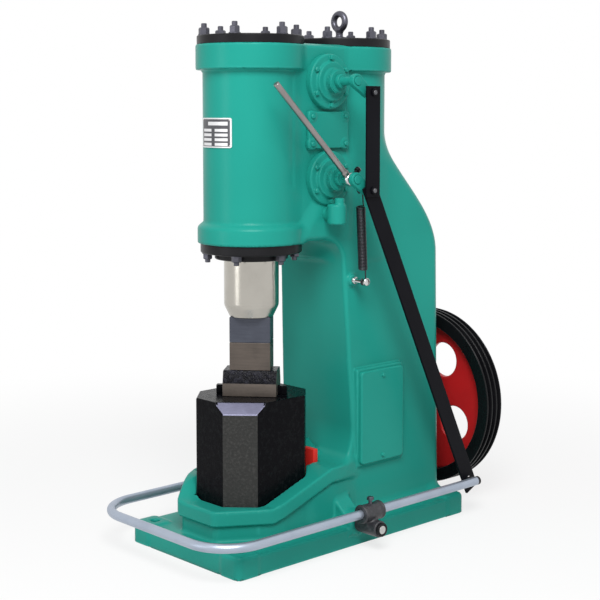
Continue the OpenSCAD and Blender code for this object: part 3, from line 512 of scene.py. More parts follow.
def castMesh(name, field, low, high, cell):   # surface of a field, one point per crossed cell
    margin, stray = meshing["margin"] * cell, meshing["stray"] * cell
    low = np.array(low, float) - margin
    counts = np.ceil((np.array(high, float) + margin - low) / cell).astype(int) + 1
    lines = [low[i] + cell * np.arange(counts[i]) for i in range(3)]
    inside = field(lines[0][:, None, None], lines[1][None, :, None], lines[2][None, None, :]) < 0
    corners = sum(inside[a:counts[0] - 1 + a, b:counts[1] - 1 + b, c:counts[2] - 1 + c].astype(np.int8)
                  for a in (0, 1) for b in (0, 1) for c in (0, 1))
    crossed = (corners > 0) & (corners < 8)
    index = np.full(crossed.shape, -1)
    index[crossed] = np.arange(crossed.sum())
    middle = low + (np.argwhere(crossed) + 0.5) * cell
    points = middle.copy()
    for _ in range(meshing["rounds"]):        # draw each point onto the surface, in or close to its cell
        slope = fieldSlope(field, points, meshing["probe"] * cell)
        steep = np.maximum((slope ** 2).sum(1), meshing["leastSteep"])
        points -= (field(*points.T) / steep)[:, None] * slope
        points = np.clip(points, middle - stray, middle + stray)
    quads = []
    for axis in range(3):
        one, two = np.eye(3, dtype=int)[(axis + 1) % 3], np.eye(3, dtype=int)[(axis + 2) % 3]
        near = np.take(inside, range(counts[axis] - 1), axis)
        far = np.take(inside, range(1, counts[axis]), axis)
        edge = np.argwhere(near != far)
        ring = np.stack([index[tuple((edge - back).T)] for back in (0 * one, one, one + two, two)], 1)
        flipped = far[tuple(edge.T)]
        ring[flipped] = ring[flipped][:, ::-1]
        quads.append(ring)
    mesh = bpy.data.meshes.new(name)
    mesh.from_pydata(points.tolist(), [], np.concatenate(quads).tolist())
    normals = fieldSlope(field, points, meshing["normalProbe"] * cell)
    normals /= np.maximum(np.linalg.norm(normals, axis=1), 1e-9)[:, None]
    depth = meshing["edgeProbe"] * cell
    # This mask, above 0 on outer edges, lightens the paint there as wear and as a painted highlight.
    worn = 1 + field(*(points - depth * normals).T) / depth     # above 0 on outer edges
    # This mask, above 0 in inner corners, darkens the paint there as painted shade.
    soot = 1 - field(*(points + depth * normals).T) / depth     # above 0 in inner corners
    for label, values in (("worn", worn), ("soot", soot)):
        mesh.attributes.new(label, "FLOAT", "POINT").data.foreach_set("value", np.clip(values, 0, 1))
    mesh.shade_smooth()
    mesh.normals_split_custom_set_from_vertices(normals.tolist())
    print(name, "has", len(mesh.polygons), "faces")
    return mesh


# Pieces that stand for one node
def addTurned(node, profile, centre, axis, segments, finish, closed=False):
    mesh = lathe(node + "_mesh", profile, centre, axis, segments, closed)
    addPiece(node + "_shape", smoothed(mesh), finish, node)


def addCast(node, field, low, high, cell, finish):
    mesh = castMesh(node + "_mesh", field, low, high, cell)
    addPiece(node + "_shape", mesh, finish, node, even=False)


def addChamfered(nodes, width, finish):
    for node in nodes:
        addPiece(node + "_shape", chamferedCopy(node, width), finish, node)


# Frame casting
casting = {
    "cell": 0.0054,
    "baseHalf": (0.189, 0.3695), "baseTop": 0.045, "baseCorner": 0.014, "baseEdge": 0.006,
    "padHalf": 0.032, "padTop": 0.050, "padFillet": 0.008,
    "boltAt": (0.153, 0.3335), "boltRadius": 0.011, "boltEdge": 0.003,
    "footHalf": 0.132, "topHalf": 0.109, "taperTop": 0.700, "rearFace": 0.360, "rearRound": 0.014,
    "footFillet": 0.030, "footGrows": (-0.160, 0.0), "footLeast": 0.25, "throatEdge": 0.008,
    "throatTop": 0.020, "throatLow": 0.042, "roof": 0.710, "roofRound": 0.058,
    "sweepFrom": 0.262, "sweepReach": (0.177, 0.144),
    "shoulder": (0.655, 0.965), "cornerReach": 0.262, "bellTop": 0.105,
    "frontAxis": -0.166, "rearAxis": 0.116, "barrel": 0.109, "barrelFrom": 0.702, "barrelEdge": 0.003,
    "bore": 0.070, "boreFrom": 0.690,
    "top": 1.150, "flange": 0.1245, "flangeFrom": 1.093, "flangeEdge": 0.004, "flangeFillet": 0.006,
    "lowFlange": 0.1225, "lowFlangeTop": 0.748, "chamferAt": 0.1135,
    "neckHalf": 0.100, "neckTop": 0.832, "neckFillet": 0.018, "fadeOver": 0.080, "fadeLeast": 0.05,
    "chest": ((0.0, -0.130, 0.742), (0.100, 0.044, 1.150)), "chestEdge": 0.007, "chestFillet": 0.012,
    "webHalf": 0.084,
    "collarTop": 0.118, "collarHalf": 0.145, "collarFront": -0.338, "collarFrontHalf": 0.066,
    "collarCorner": -0.214, "collarRound": (0.010, 0.016), "narrowOver": (-0.040, 0.110), "narrowBy": 0.070,
    "collarBand": 0.036, "collarEdge": 0.005, "collarFillet": 0.020,
    "pedestalInset": 0.009, "pedestalFrom": 0.020, "pedestalDrop": 0.018, "pedestalFillet": 0.004,
    "rimSides": (-0.030, -0.080), "leftRise": (-0.338, -0.260), "leftLift": 0.042,
    "rightRise": (-0.220, -0.045), "rightLift": 0.062, "wedgeCover": (-0.300, -0.260),
    "pocketFloor": 0.062, "pocketTop": 0.450, "pocketGap": 0.0012, "pocketWall": 0.012, "pocketEdge": 0.003,
    "anvilHalf": (0.102, 0.127), "anvilCut": 0.0545, "rearWedge": (0.074, 0.014), "sideWedge": 0.019,
    "lugAt": (-0.008, 0.054), "lugRadius": 0.027, "lugFrom": 0.080, "lugEnd": 0.196, "lugEdge": 0.004,
    "lugFillet": 0.008, "ribTop": 0.108, "ribFrom": 0.030, "ribInset": 0.002, "ribEdge": 0.006,
    "ribFillet": 0.005,
    "sidePad": ((0.0, 0.048, 0.160), (0.132, 0.206, 0.396)), "sidePadEdge": 0.004,
    "studAt": (0.046, 0.607), "studBoss": 0.014, "studFrom": 0.020, "studEnd": 0.121, "studEdge": 0.003,
    "studFillet": 0.006,
}


def columnField(x, y, z):
    c = casting
    taper = np.clip(z / c["taperTop"], 0, 1)
    sides = np.abs(x) - c["footHalf"] + (c["footHalf"] - c["topHalf"]) * taper
    low, high = c["shoulder"]
    t = share(z, c["shoulder"])
    wave = (1 - np.cos(math.pi * t)) / 2
    lean = math.pi / 2 * np.sin(math.pi * t) / (high - low)
    inward = c["rearFace"] - c["rearAxis"] - c["barrel"]
    rear = (y - c["rearFace"] + inward * wave) / np.hypot(1, inward * lean)
    drawn = c["cornerReach"] - c["bellTop"]
    bell = (np.hypot(x, y - c["rearAxis"]) - c["cornerReach"] + drawn * wave) / np.hypot(1, drawn * lean)
    slant = (c["throatLow"] - c["throatTop"]) / (c["roof"] - c["sweepFrom"])
    face = y - c["throatLow"] + slant * (z - c["sweepFrom"])
    upper = roundBoth(face, z - c["roof"], c["roofRound"])
    reachY, reachZ = c["sweepReach"]
    u = np.maximum(1 + face / reachY, 0)
    v = np.maximum(1 + (c["collarTop"] - z) / reachZ, 0)
    h = np.hypot(u, v)
    swept = np.where(h > 1e-6, (h - 1) * h / np.maximum(np.hypot(u / reachY, v / reachZ), 1e-6), -0.1)
    throat = np.maximum(upper, swept)
    body = roundBoth(sides, np.maximum(rear, bell), c["rearRound"])
    body = roundBoth(body, -throat, c["throatEdge"])
    body = np.maximum(body, z - high)
    return np.maximum(body, c["frontAxis"] - y)


def collarPlan(x, y, inset):                  # outline round the anvil, drawn in by an inset
    c = casting
    ahead = c["collarFront"] + inset - y
    run, rise = c["collarHalf"] - c["collarFrontHalf"], c["collarCorner"] - c["collarFront"]
    slanted = (np.abs(x) - c["collarFrontHalf"]) * rise - (y - c["collarFront"]) * run
    slanted = slanted / math.hypot(run, rise) + inset
    narrowed = c["narrowBy"] * share(y, c["narrowOver"]) ** 2
    sides = np.abs(x) - c["collarHalf"] + inset + narrowed
    frontRound, sideRound = c["collarRound"]
    plan = roundBoth(roundBoth(ahead, slanted, frontRound), sides, sideRound)
    return np.maximum(plan, y - c["rearAxis"])


def collarField(x, y, z):
    c = casting
    left = share(x, c["rimSides"])
    leftRise = c["leftLift"] * np.sin(math.pi / 2 * share(y, c["leftRise"]))
    rightRise = c["rightLift"] * share(y, c["rightRise"])
    fromTop = z - c["collarTop"] - left * leftRise - (1 - left) * rightRise   # the rim climbs to the throat
    half = c["collarBand"] / 2
    band = roundBoth(collarPlan(x, y, 0), np.abs(fromTop + half) - half, c["collarEdge"])
    inset = c["pedestalInset"] * (1 - left * share(y, c["wedgeCover"]))       # none beside the wedge
    levels = np.maximum(fromTop + c["pedestalDrop"], c["pedestalFrom"] - z)
    return roundUnion(band, np.maximum(collarPlan(x, y, inset), levels), c["pedestalFillet"])


def barrelField(x, y, z):
    c = casting
    ahead, behind = y - c["frontAxis"], y - c["rearAxis"]
    barrel = drumField(x, ahead, z, c["barrel"], c["barrelFrom"], c["top"], c["barrelEdge"])
    low = drumField(x, ahead, z, c["lowFlange"], c["barrelFrom"], c["lowFlangeTop"], c["flangeEdge"])
    chamfer = (np.hypot(x, ahead) - c["chamferAt"] + z - c["lowFlangeTop"]) / math.sqrt(2)
    low = roundBoth(low, chamfer, c["barrelEdge"])
    cylinders = roundUnion(barrel, low, c["flangeFillet"])
    rear = drumField(x, behind, z, c["barrel"], c["shoulder"][0], c["top"], c["barrelEdge"])
    block = blockField(x, y, z, (-c["neckHalf"], c["frontAxis"], c["roof"]),
                       (c["neckHalf"], c["chest"][1][1], c["neckTop"]), c["throatEdge"])
    web = blockField(x, y, z, (-c["webHalf"], c["frontAxis"], c["roof"]),
                     (c["webHalf"], c["rearAxis"], c["top"]), c["flangeEdge"])
    chest = blockField(x, y, z, *c["chest"], c["chestEdge"])
    body = roundUnion(roundUnion(cylinders, rear, c["neckFillet"]), web, c["neckFillet"])
    body = roundUnion(body, np.minimum(block, chest), c["chestFillet"])
    for along in (ahead, behind):
        flange = drumField(x, along, z, c["flange"], c["flangeFrom"], c["top"], c["flangeEdge"])
        body = roundUnion(body, flange, c["flangeFillet"])
    return body


def baseField(x, y, z):
    c = casting
    halfX, halfY = c["baseHalf"]
    corner, edge = c["baseCorner"], c["baseEdge"]

    def slab(x, y, halfX, halfY, top):
        qx, qy = np.abs(x) - halfX + corner, np.abs(y) - halfY + corner
        plan = np.hypot(np.maximum(qx, 0), np.maximum(qy, 0)) + np.minimum(np.maximum(qx, qy), 0) - corner
        return roundBoth(plan, z - top, edge)

    base = slab(x, y, halfX, halfY, c["baseTop"])
    pad = slab(np.abs(x) - halfX + c["padHalf"], np.abs(y) - halfY + c["padHalf"],
               c["padHalf"], c["padHalf"], c["padTop"])
    return roundUnion(base, pad, c["padFillet"])


def lugField(x, y, z):                        # both treadle pivots, each with its rib
    c = casting
    x, y, z = np.abs(x), y - c["lugAt"][0], z - c["lugAt"][1]
    drum = drumField(y, z, x, c["lugRadius"], c["lugFrom"], c["lugEnd"], c["lugEdge"])
    run, rise = c["lugEnd"] - c["footHalf"], c["ribTop"] - c["lugAt"][1]
    slope = ((x - c["lugEnd"]) * rise + z * run) / math.hypot(run, rise)
    ends = np.maximum(slope, x - c["lugEnd"] + c["ribInset"])
    rib = roundBoth(ends, np.abs(y) - c["lugRadius"] + c["ribInset"], c["ribEdge"])
    rib = np.maximum(rib, c["ribFrom"] - c["lugAt"][1] - z)
    return roundUnion(drum, rib, c["ribFillet"])


def pocketField(x, y, z):                     # space of the anvil and its wedges, with a wall round it
    c = casting
    gap = c["pocketGap"]
    halfW, halfL = c["anvilHalf"][0] + gap, c["anvilHalf"][1] + gap
    along = y - c["frontAxis"]
    cut = (np.abs(x) + np.abs(along) - halfW - halfL + c["anvilCut"] + 0.6 * gap) / math.sqrt(2)
    plan = np.maximum(np.maximum(np.abs(x) - halfW, np.abs(along) - halfL), cut)
    wedgeHalf, wedgeThick = c["rearWedge"]
    rear = np.maximum(np.abs(x) - wedgeHalf - gap, np.abs(along - halfL) - wedgeThick - gap)
    side = np.maximum(np.abs(along) - halfL + c["anvilCut"], np.abs(x + halfW) - c["sideWedge"] - gap)
    plan = np.minimum(plan, np.minimum(rear, side))
    space = np.maximum(np.maximum(plan, c["pocketFloor"] - z), z - c["pocketTop"])
    return np.maximum(space, collarPlan(x, y, c["pocketWall"]))


def frameField(x, y, z):
    c = casting
    fading = np.clip((c["shoulder"][1] - z) / c["fadeOver"], c["fadeLeast"], 1)   # as the shoulder ends
    body = roundUnion(columnField(x, y, z), barrelField(x, y, z), c["neckFillet"] * fading)
    body = roundUnion(body, collarField(x, y, z), c["collarFillet"])
    body = roundUnion(body, blockField(x, y, z, *c["sidePad"], c["sidePadEdge"]), c["sidePadEdge"])
    boss = drumField(y - c["studAt"][0], z - c["studAt"][1], x, c["studBoss"], c["studFrom"], c["studEnd"],
                     c["studEdge"])
    body = roundUnion(body, boss, c["studFillet"])
    growing = np.maximum(share(y, c["footGrows"]), c["footLeast"])   # a sharp step under the collar
    body = roundUnion(body, baseField(x, y, z), c["footFillet"] * growing)
    body = roundUnion(body, lugField(x, y, z), c["lugFillet"])
    body = roundCut(body, pocketField(x, y, z), c["pocketEdge"])
    bore = c["bore"] - np.hypot(x, y - c["frontAxis"])
    body = np.maximum(body, np.where(z < c["boreFrom"], -1.0, bore))
    bolts = np.hypot(np.abs(x) - c["boltAt"][0], np.abs(y) - c["boltAt"][1]) - c["boltRadius"]
    body = roundCut(body, bolts, c["boltEdge"])
    return np.maximum(body, -z)


addCast("frame_casting", frameField, *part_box("frame_casting"), casting["cell"], greenPaint)


# Screws, nuts and studs, by Geometry Nodes
def startTree(name, inputs):                  # empty tree with its named inputs, as wires
    tree = bpy.data.node_groups.new(name, "GeometryNodeTree")
    for label, kind in inputs.items():
        tree.interface.new_socket(label, in_out="INPUT", socket_type="NodeSocket" + kind)
    tree.interface.new_socket("Shape", in_out="OUTPUT", socket_type="NodeSocketGeometry")
    given = tree.nodes.new("NodeGroupInput")
    return tree, {label: Wire(tree, given.outputs[label]) for label in inputs}


def endTree(tree, shape, finish):             # real meshes with their material
    real = shape.make("GeometryNodeRealizeInstances", {}, {"Geometry": shape})
    done = real.make("GeometryNodeSetMaterial", {}, {"Geometry": real, "Material": finish})
    tree.links.new(done.socket, tree.nodes.new("NodeGroupOutput").inputs[0])
    return tree


def barNodes(start, sides, reach, height, foot, broken):   # upright bar with a broken top edge
    body = start.make("GeometryNodeMeshCylinder", {"fill_type": "NGON"},
                      {"Vertices": sides, "Radius": reach, "Depth": height - broken})
    taller = start.make("GeometryNodeExtrudeMesh", {"mode": "FACES"},
                        {"Mesh": body, "Selection": body.other("Top"), "Offset Scale": broken,
                         "Individual": False})
    drawn = start.make("GeometryNodeScaleElements", {},
                       {"Geometry": taller, "Selection": taller.other("Top"), "Scale": 1 - broken / reach})
    lift = start.make("ShaderNodeCombineXYZ", {}, {"Z": foot + (height - broken) / 2})
    return start.make("GeometryNodeTransform", {}, {"Geometry": drawn, "Translation": lift})


def fastenerTree():                           # washer, head and stud end at every point, along its aim
    tree, given = startTree("fasteners", {
        "Points": "Geometry", "Sides": "Int", "Head": "Float", "Head Height": "Float", "Broken": "Float",
        "Washer": "Float", "Washer Height": "Float", "Stud": "Float", "Stud Height": "Float",
        "Finish": "Material"})
    start = given["Head"]
    washer = barNodes(start, 24, given["Washer"], given["Washer Height"], 0.0, given["Broken"] * 0.3)
    head = barNodes(start, given["Sides"], start, given["Head Height"], given["Washer Height"],
                    given["Broken"])
    stud = barNodes(start, 16, given["Stud"], given["Stud Height"], 0.0005, given["Broken"] * 0.5)
    threaded = start.math("GREATER_THAN", given["Stud Height"], given["Head Height"])
    shown = start.make("GeometryNodeSwitch", {"input_type": "GEOMETRY"}, {"Switch": threaded, "True": stud})
    whole = start.make("GeometryNodeJoinGeometry")
    for shape in (washer, head, shown):
        tree.links.new(shape.socket, whole.socket.node.inputs[0])
    aim = start.make("GeometryNodeInputNamedAttribute", {"data_type": "FLOAT_VECTOR"}, {"Name": "aim"})
    turn = start.make("GeometryNodeInputNamedAttribute", {"data_type": "FLOAT"}, {"Name": "turn"})
    facing = start.make("FunctionNodeAlignRotationToVector", {"axis": "Z"}, {"Vector": aim})
    spin = start.make("FunctionNodeAxisAngleToRotation", {}, {"Axis": (0.0, 0.0, 1.0), "Angle": turn})
    turned = start.make("FunctionNodeRotateRotation", {"rotation_space": "LOCAL"},
                        {"Rotation": facing, "Rotate By": spin})
    copies = start.make("GeometryNodeInstanceOnPoints", {},
                        {"Points": given["Points"], "Instance": whole, "Rotation": turned})
    return endTree(tree, copies, given["Finish"])


def coilTree():                               # close-wound spring along Z
    tree, given = startTree("spring_coil", {"Points": "Geometry", "Turns": "Float", "Radius": "Float",
                                            "Wire": "Float", "Length": "Float", "Finish": "Material"})
    start = given["Turns"]
    line = start.make("GeometryNodeCurveSpiral", {},
                      {"Resolution": 20, "Rotations": start, "Start Radius": given["Radius"],
                       "End Radius": given["Radius"], "Height": given["Length"]})
    section = start.make("GeometryNodeCurvePrimitiveCircle", {}, {"Resolution": 8, "Radius": given["Wire"]})
    tube = start.make("GeometryNodeCurveToMesh", {},
                      {"Curve": line, "Profile Curve": section, "Fill Caps": True})
    return endTree(tree, tube, given["Finish"])


def growMesh(name, tree, values, points=((0, 0, 0),), aims=((0, 0, 1),)):   # a tree's result as a mesh
    seeds = bpy.data.meshes.new(name + "_points")
    seeds.from_pydata([tuple(p) for p in points], [], [])
    seeds.attributes.new("aim", "FLOAT_VECTOR", "POINT").data.foreach_set("vector", np.ravel(aims))
    turns = 0.7 * np.arange(len(points))
    seeds.attributes.new("turn", "FLOAT", "POINT").data.foreach_set("value", turns)
    holder = bpy.data.objects.new(name + "_points", seeds)
    bpy.context.scene.collection.objects.link(holder)
    modifier = holder.modifiers.new("shape", "NODES")
    modifier.node_group = tree
    for item in tree.interface.items_tree:
        if item.in_out == "INPUT" and item.name in values:
            modifier[item.identifier] = values[item.name]
    ready = holder.evaluated_get(bpy.context.evaluated_depsgraph_get())
    mesh = bpy.data.meshes.new_from_object(ready)
    mesh.name = name
    holder.modifiers.remove(modifier)
    bpy.data.objects.remove(holder)
    return smoothed(mesh, 32)


fastener = fastenerTree()


def addFasteners(name, sizes, finish, node, points, aim):   # one mesh of like screws or nuts
    aims = [tuple(aim)] * len(points)
    mesh = growMesh(name + "_mesh", fastener, {**sizes, "Finish": finish}, points, aims)
    return addPiece(name, mesh, finish, node, replace=False)


def boltRing(centre, axis, circle, count, first=0.0):
    side, up = acrossAxes(axis)[1:]
    return [Vector(centre) + spoke * circle for spoke in spokesOf(side, up, count, math.radians(first))]


def middleOf(node):                           # middle of a node's box, with its low and high corners
    low, high = Vector(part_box(node)[0]), Vector(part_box(node)[1])
    return (low + high) / 2, low, high


# Cylinder covers with their studs
cover = {
    "edge": 0.003, "foot": 0.0008, "groove": (0.086, 0.090), "grooveDeep": 0.002, "grooveSlope": 0.001,
    "hub": 0.012,
    "studCircle": 0.106, "studCount": 6,
    "stud": {"Sides": 6, "Head": 0.0125, "Head Height": 0.0145, "Broken": 0.0024, "Washer": 0.0135,
             "Washer Height": 0.0025, "Stud": 0.0065, "Stud Height": 0.026},
}


def makeCover(node):
    middle, low, high = middleOf(node)
    radius, thick = (high.x - low.x) / 2, high.z - low.z
    inner, outer = cover["groove"]
    floor, slope = thick - cover["grooveDeep"], cover["grooveSlope"]
    profile = eased([(cover["hub"], 0), (radius, 0), (radius, thick), (outer, thick),
                     (outer - slope, floor), (inner + slope, floor), (inner, thick), (cover["hub"], thick)],
                    [0, cover["foot"], cover["edge"], 0, 0, 0, 0, 0])
    centre = Vector((middle.x, middle.y, low.z))
    addTurned(node, profile, centre, (0, 0, 1), 96, blackPaint)
    points = boltRing(centre + Vector((0, 0, thick)), (0, 0, 1), cover["studCircle"], cover["studCount"])
    addFasteners(node + "_studs", cover["stud"], nutSteel, node, points, (0, 0, 1))


makeCover("front_cylinder_cover")
makeCover("rear_cylinder_cover")


# Lifting eye
eye = {"bar": 0.0075, "foot": 0.018, "footThick": 0.0075, "footEdge": 0.002, "footFillet": 0.004,
       "neckShare": 1.15, "neckEdge": 0.001, "neckFillet": 0.005, "cell": 0.0017}


def makeEye():
    middle, low, high = middleOf("lifting_eye")
    reach = (high.x - low.x) / 2
    ringAt = high.z - reach

    def eyeField(x, y, z):
        y = y - middle.y
        ring = np.hypot(np.hypot(x, z - ringAt) - reach + eye["bar"], y) - eye["bar"]
        neckTop = ringAt - reach + eye["bar"]
        neck = drumField(x, y, z, eye["bar"] * eye["neckShare"], low.z, neckTop, eye["neckEdge"])
        foot = drumField(x, y, z, eye["foot"], low.z, low.z + eye["footThick"], eye["footEdge"])
        return roundUnion(roundUnion(ring, neck, eye["neckFillet"]), foot, eye["footFillet"])

    addCast("lifting_eye", eyeField, low, high, eye["cell"], nutSteel)


makeEye()


# Ram gland
gland = {
    "gap": 0.0004, "noseHeight": 0.015, "nose": 0.084, "edge": 0.004, "broken": 0.001,
    "nutCircle": 0.101, "nutCount": 6,
    "nut": {"Sides": 6, "Head": 0.0115, "Head Height": 0.012, "Broken": 0.002, "Washer": 0.0125,
            "Washer Height": 0.002, "Stud": 0.0062, "Stud Height": 0.021},
}


def makeGland():
    middle, low, high = middleOf("ram_gland")
    bore = (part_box("ram")[1][0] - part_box("ram")[0][0]) / 2 + gland["gap"]
    reach, tall, step = (high.x - low.x) / 2, high.z - low.z, gland["noseHeight"]
    nose, edge, broken = gland["nose"], gland["edge"], gland["broken"]
    profile = eased([(bore, 0), (nose, 0), (nose, step), (reach, step), (reach, tall), (bore, tall)],
                    [broken, edge, edge, edge, broken, broken], closed=True)
    centre = Vector((middle.x, middle.y, low.z))
    addTurned("ram_gland", profile, centre, (0, 0, 1), 96, blackPaint, closed=True)
    points = boltRing(centre + Vector((0, 0, step)), (0, 0, 1), gland["nutCircle"], gland["nutCount"])
    addFasteners("ram_gland_nuts", gland["nut"], nutSteel, "ram_gland", points, (0, 0, -1))


makeGland()


# Valve covers on the side of the chest
valve = {
    "bore": 0.0103, "flange": 0.016, "hub": (0.046, 0.044, 0.024), "bearing": 0.0245, "neck": 0.032,
    "ridge": 0.0275, "ridgeWidth": 0.0028, "ridgeCount": 3, "ridgePitch": 0.0044, "ridgeFrom": 0.0285,
    "ridgeLead": 0.001, "ridgeSlope": 0.0004, "hubEdges": (0, 0.001, 0.0045, 0.004, 0.003, 0.003, 0.001),
    "ridgeEdges": (0.0005, 0.0008, 0.0008, 0.0005), "endEdges": (0.0015, 0.0008),
    "screwCircle": 0.0535, "screwCount": 6, "screwFirst": 90,
    "screw": {"Sides": 6, "Head": 0.0062, "Head Height": 0.0052, "Broken": 0.0016, "Washer": 0.0072,
              "Washer Height": 0.001, "Stud": 0.002, "Stud Height": 0.0},
}


def makeValveCover(node):
    v = valve
    middle, low, high = middleOf(node)
    radius, long = (high.z - low.z) / 2, high.x - low.x
    hubLow, hubHigh, hubEnd = v["hub"]
    bore, bearing, ridge, slope = v["bore"], v["bearing"], v["ridge"], v["ridgeSlope"]
    corners = [(bore, 0), (radius, 0), (radius, v["flange"]), (hubLow, v["flange"]), (hubHigh, hubEnd),
               (v["neck"], hubEnd), (bearing, v["ridgeFrom"] - v["ridgeLead"])]
    for k in range(v["ridgeCount"]):
        start = v["ridgeFrom"] + k * v["ridgePitch"]
        end = start + v["ridgeWidth"]
        corners += [(bearing, start), (ridge, start + slope), (ridge, end - slope), (bearing, end)]
    corners += [(bearing, long), (bore, long)]
    radii = v["hubEdges"] + v["ridgeEdges"] * v["ridgeCount"] + v["endEdges"]
    centre = Vector((low.x, middle.y, middle.z))
    addTurned(node, eased(corners, radii, closed=True), centre, (1, 0, 0), 84, greenPaint, closed=True)
    face = centre + Vector((v["flange"], 0, 0))
    points = boltRing(face, (1, 0, 0), v["screwCircle"], v["screwCount"], v["screwFirst"])
    addFasteners(node + "_screws", v["screw"], greenPaint, node, points, (1, 0, 0))


makeValveCover("upper_valve_cover")
makeValveCover("lower_valve_cover")


# Chest cover, exhaust elbow and side cover
chest = {
    "edge": 0.003, "ear": 0.0125, "earInset": 0.0105, "earRise": 0.001, "earFillet": 0.004, "cell": 0.0021,
    "screw": {"Sides": 20, "Head": 0.0058, "Head Height": 0.0042, "Broken": 0.0019, "Washer": 0.0066,
              "Washer Height": 0.0008, "Stud": 0.002, "Stud Height": 0.0},
}


def makeChestCover():
    middle, low, high = middleOf("chest_cover")
    earY, earZ = (high.y - low.y) / 2 - chest["earInset"], (high.z - low.z) / 2 - chest["earInset"]

    def coverField(x, y, z):
        slab = blockField(x, y, z, low, high, chest["edge"])
        ears = drumField(np.abs(y - middle.y) - earY, np.abs(z - middle.z) - earZ, x, chest["ear"],
                         low.x, high.x + chest["earRise"], chest["edge"])
        return np.maximum(roundUnion(slab, ears, chest["earFillet"]), low.x - x)

    addCast("chest_cover", coverField, low, high, chest["cell"], greenPaint)
    face = high.x + chest["earRise"]
    points = [Vector((face, middle.y + a * earY, middle.z + b * earZ)) for a in (-1, 1) for b in (-1, 1)]
    addFasteners("chest_cover_screws", chest["screw"], greenPaint, "chest_cover", points, (1, 0, 0))


elbow = {
    "drum": 0.022, "drumAt": 0.141, "drumTop": 0.7905, "drumEdge": 0.005, "branch": 0.017, "branchZ": 0.766,
    "edge": 0.001, "fillet": 0.006, "stub": 0.011, "stubAt": 0.150, "stubSunk": 0.010, "stubEdge": 0.002,
    "stubFillet": 0.003, "outlet": 0.0150, "outletDeep": 0.020, "outletPast": 0.010, "outletEdge": 0.002,
    "cell": 0.002,
}


def makeElbow():
    e = elbow
    middle, low, high = middleOf("exhaust_elbow")

    def elbowField(x, y, z):
        across, y = x - e["drumAt"], y - middle.y
        drum = drumField(across, y, z, e["drum"], low.z, e["drumTop"], e["drumEdge"])
        branch = drumField(y, z - e["branchZ"], x, e["branch"], low.x, e["drumAt"], e["edge"])
        stubFoot, outletFoot = e["drumTop"] - e["stubSunk"], low.z - e["outletPast"]
        stub = drumField(x - e["stubAt"], y, z, e["stub"], stubFoot, high.z, e["stubEdge"])
        solid = roundUnion(roundUnion(drum, branch, e["fillet"]), stub, e["stubFillet"])
        outlet = drumField(across, y, z, e["outlet"], outletFoot, low.z + e["outletDeep"], e["edge"])
        return roundCut(solid, outlet, e["outletEdge"])

    addCast("exhaust_elbow", elbowField, low, high, e["cell"], greenPaint)


sideCover = {
    "corner": 0.010, "edge": 0.0042, "screwInset": 0.015,
    "screw": {"Sides": 20, "Head": 0.0052, "Head Height": 0.0036, "Broken": 0.0017, "Washer": 0.0062,
              "Washer Height": 0.0008, "Stud": 0.002, "Stud Height": 0.0},
}


def makeSideCover():
    middle, low, high = middleOf("side_cover")
    outline = roundedRectangle(high.y - low.y, high.z - low.z, sideCover["corner"])
    mesh = plate("side_cover_mesh", outline, high.x - low.x, sideCover["edge"],
                 lambda u, v, h: (low.x + h, middle.y + u, middle.z + v))
    addPiece("side_cover_shape", smoothed(mesh), greenPaint, "side_cover")
    inset = sideCover["screwInset"]
    points = [Vector((high.x, middle.y, z)) for z in (low.z + inset, high.z - inset)]
    addFasteners("side_cover_screws", sideCover["screw"], greenPaint, "side_cover", points, (1, 0, 0))


makeChestCover()
makeElbow()
makeSideCover()


# Data plate, bent round the front barrel
dataPlate = {
    "corner": 0.004, "columns": 28, "rows": 9, "cornerRows": 4, "sunk": 0.0005, "rivetInset": 0.0045,
    "rivet": {"Sides": 12, "Head": 0.0018, "Head Height": 0.0014, "Broken": 0.0008, "Washer": 0.0019,
              "Washer Height": 0.0003, "Stud": 0.0005, "Stud Height": 0.0},
}


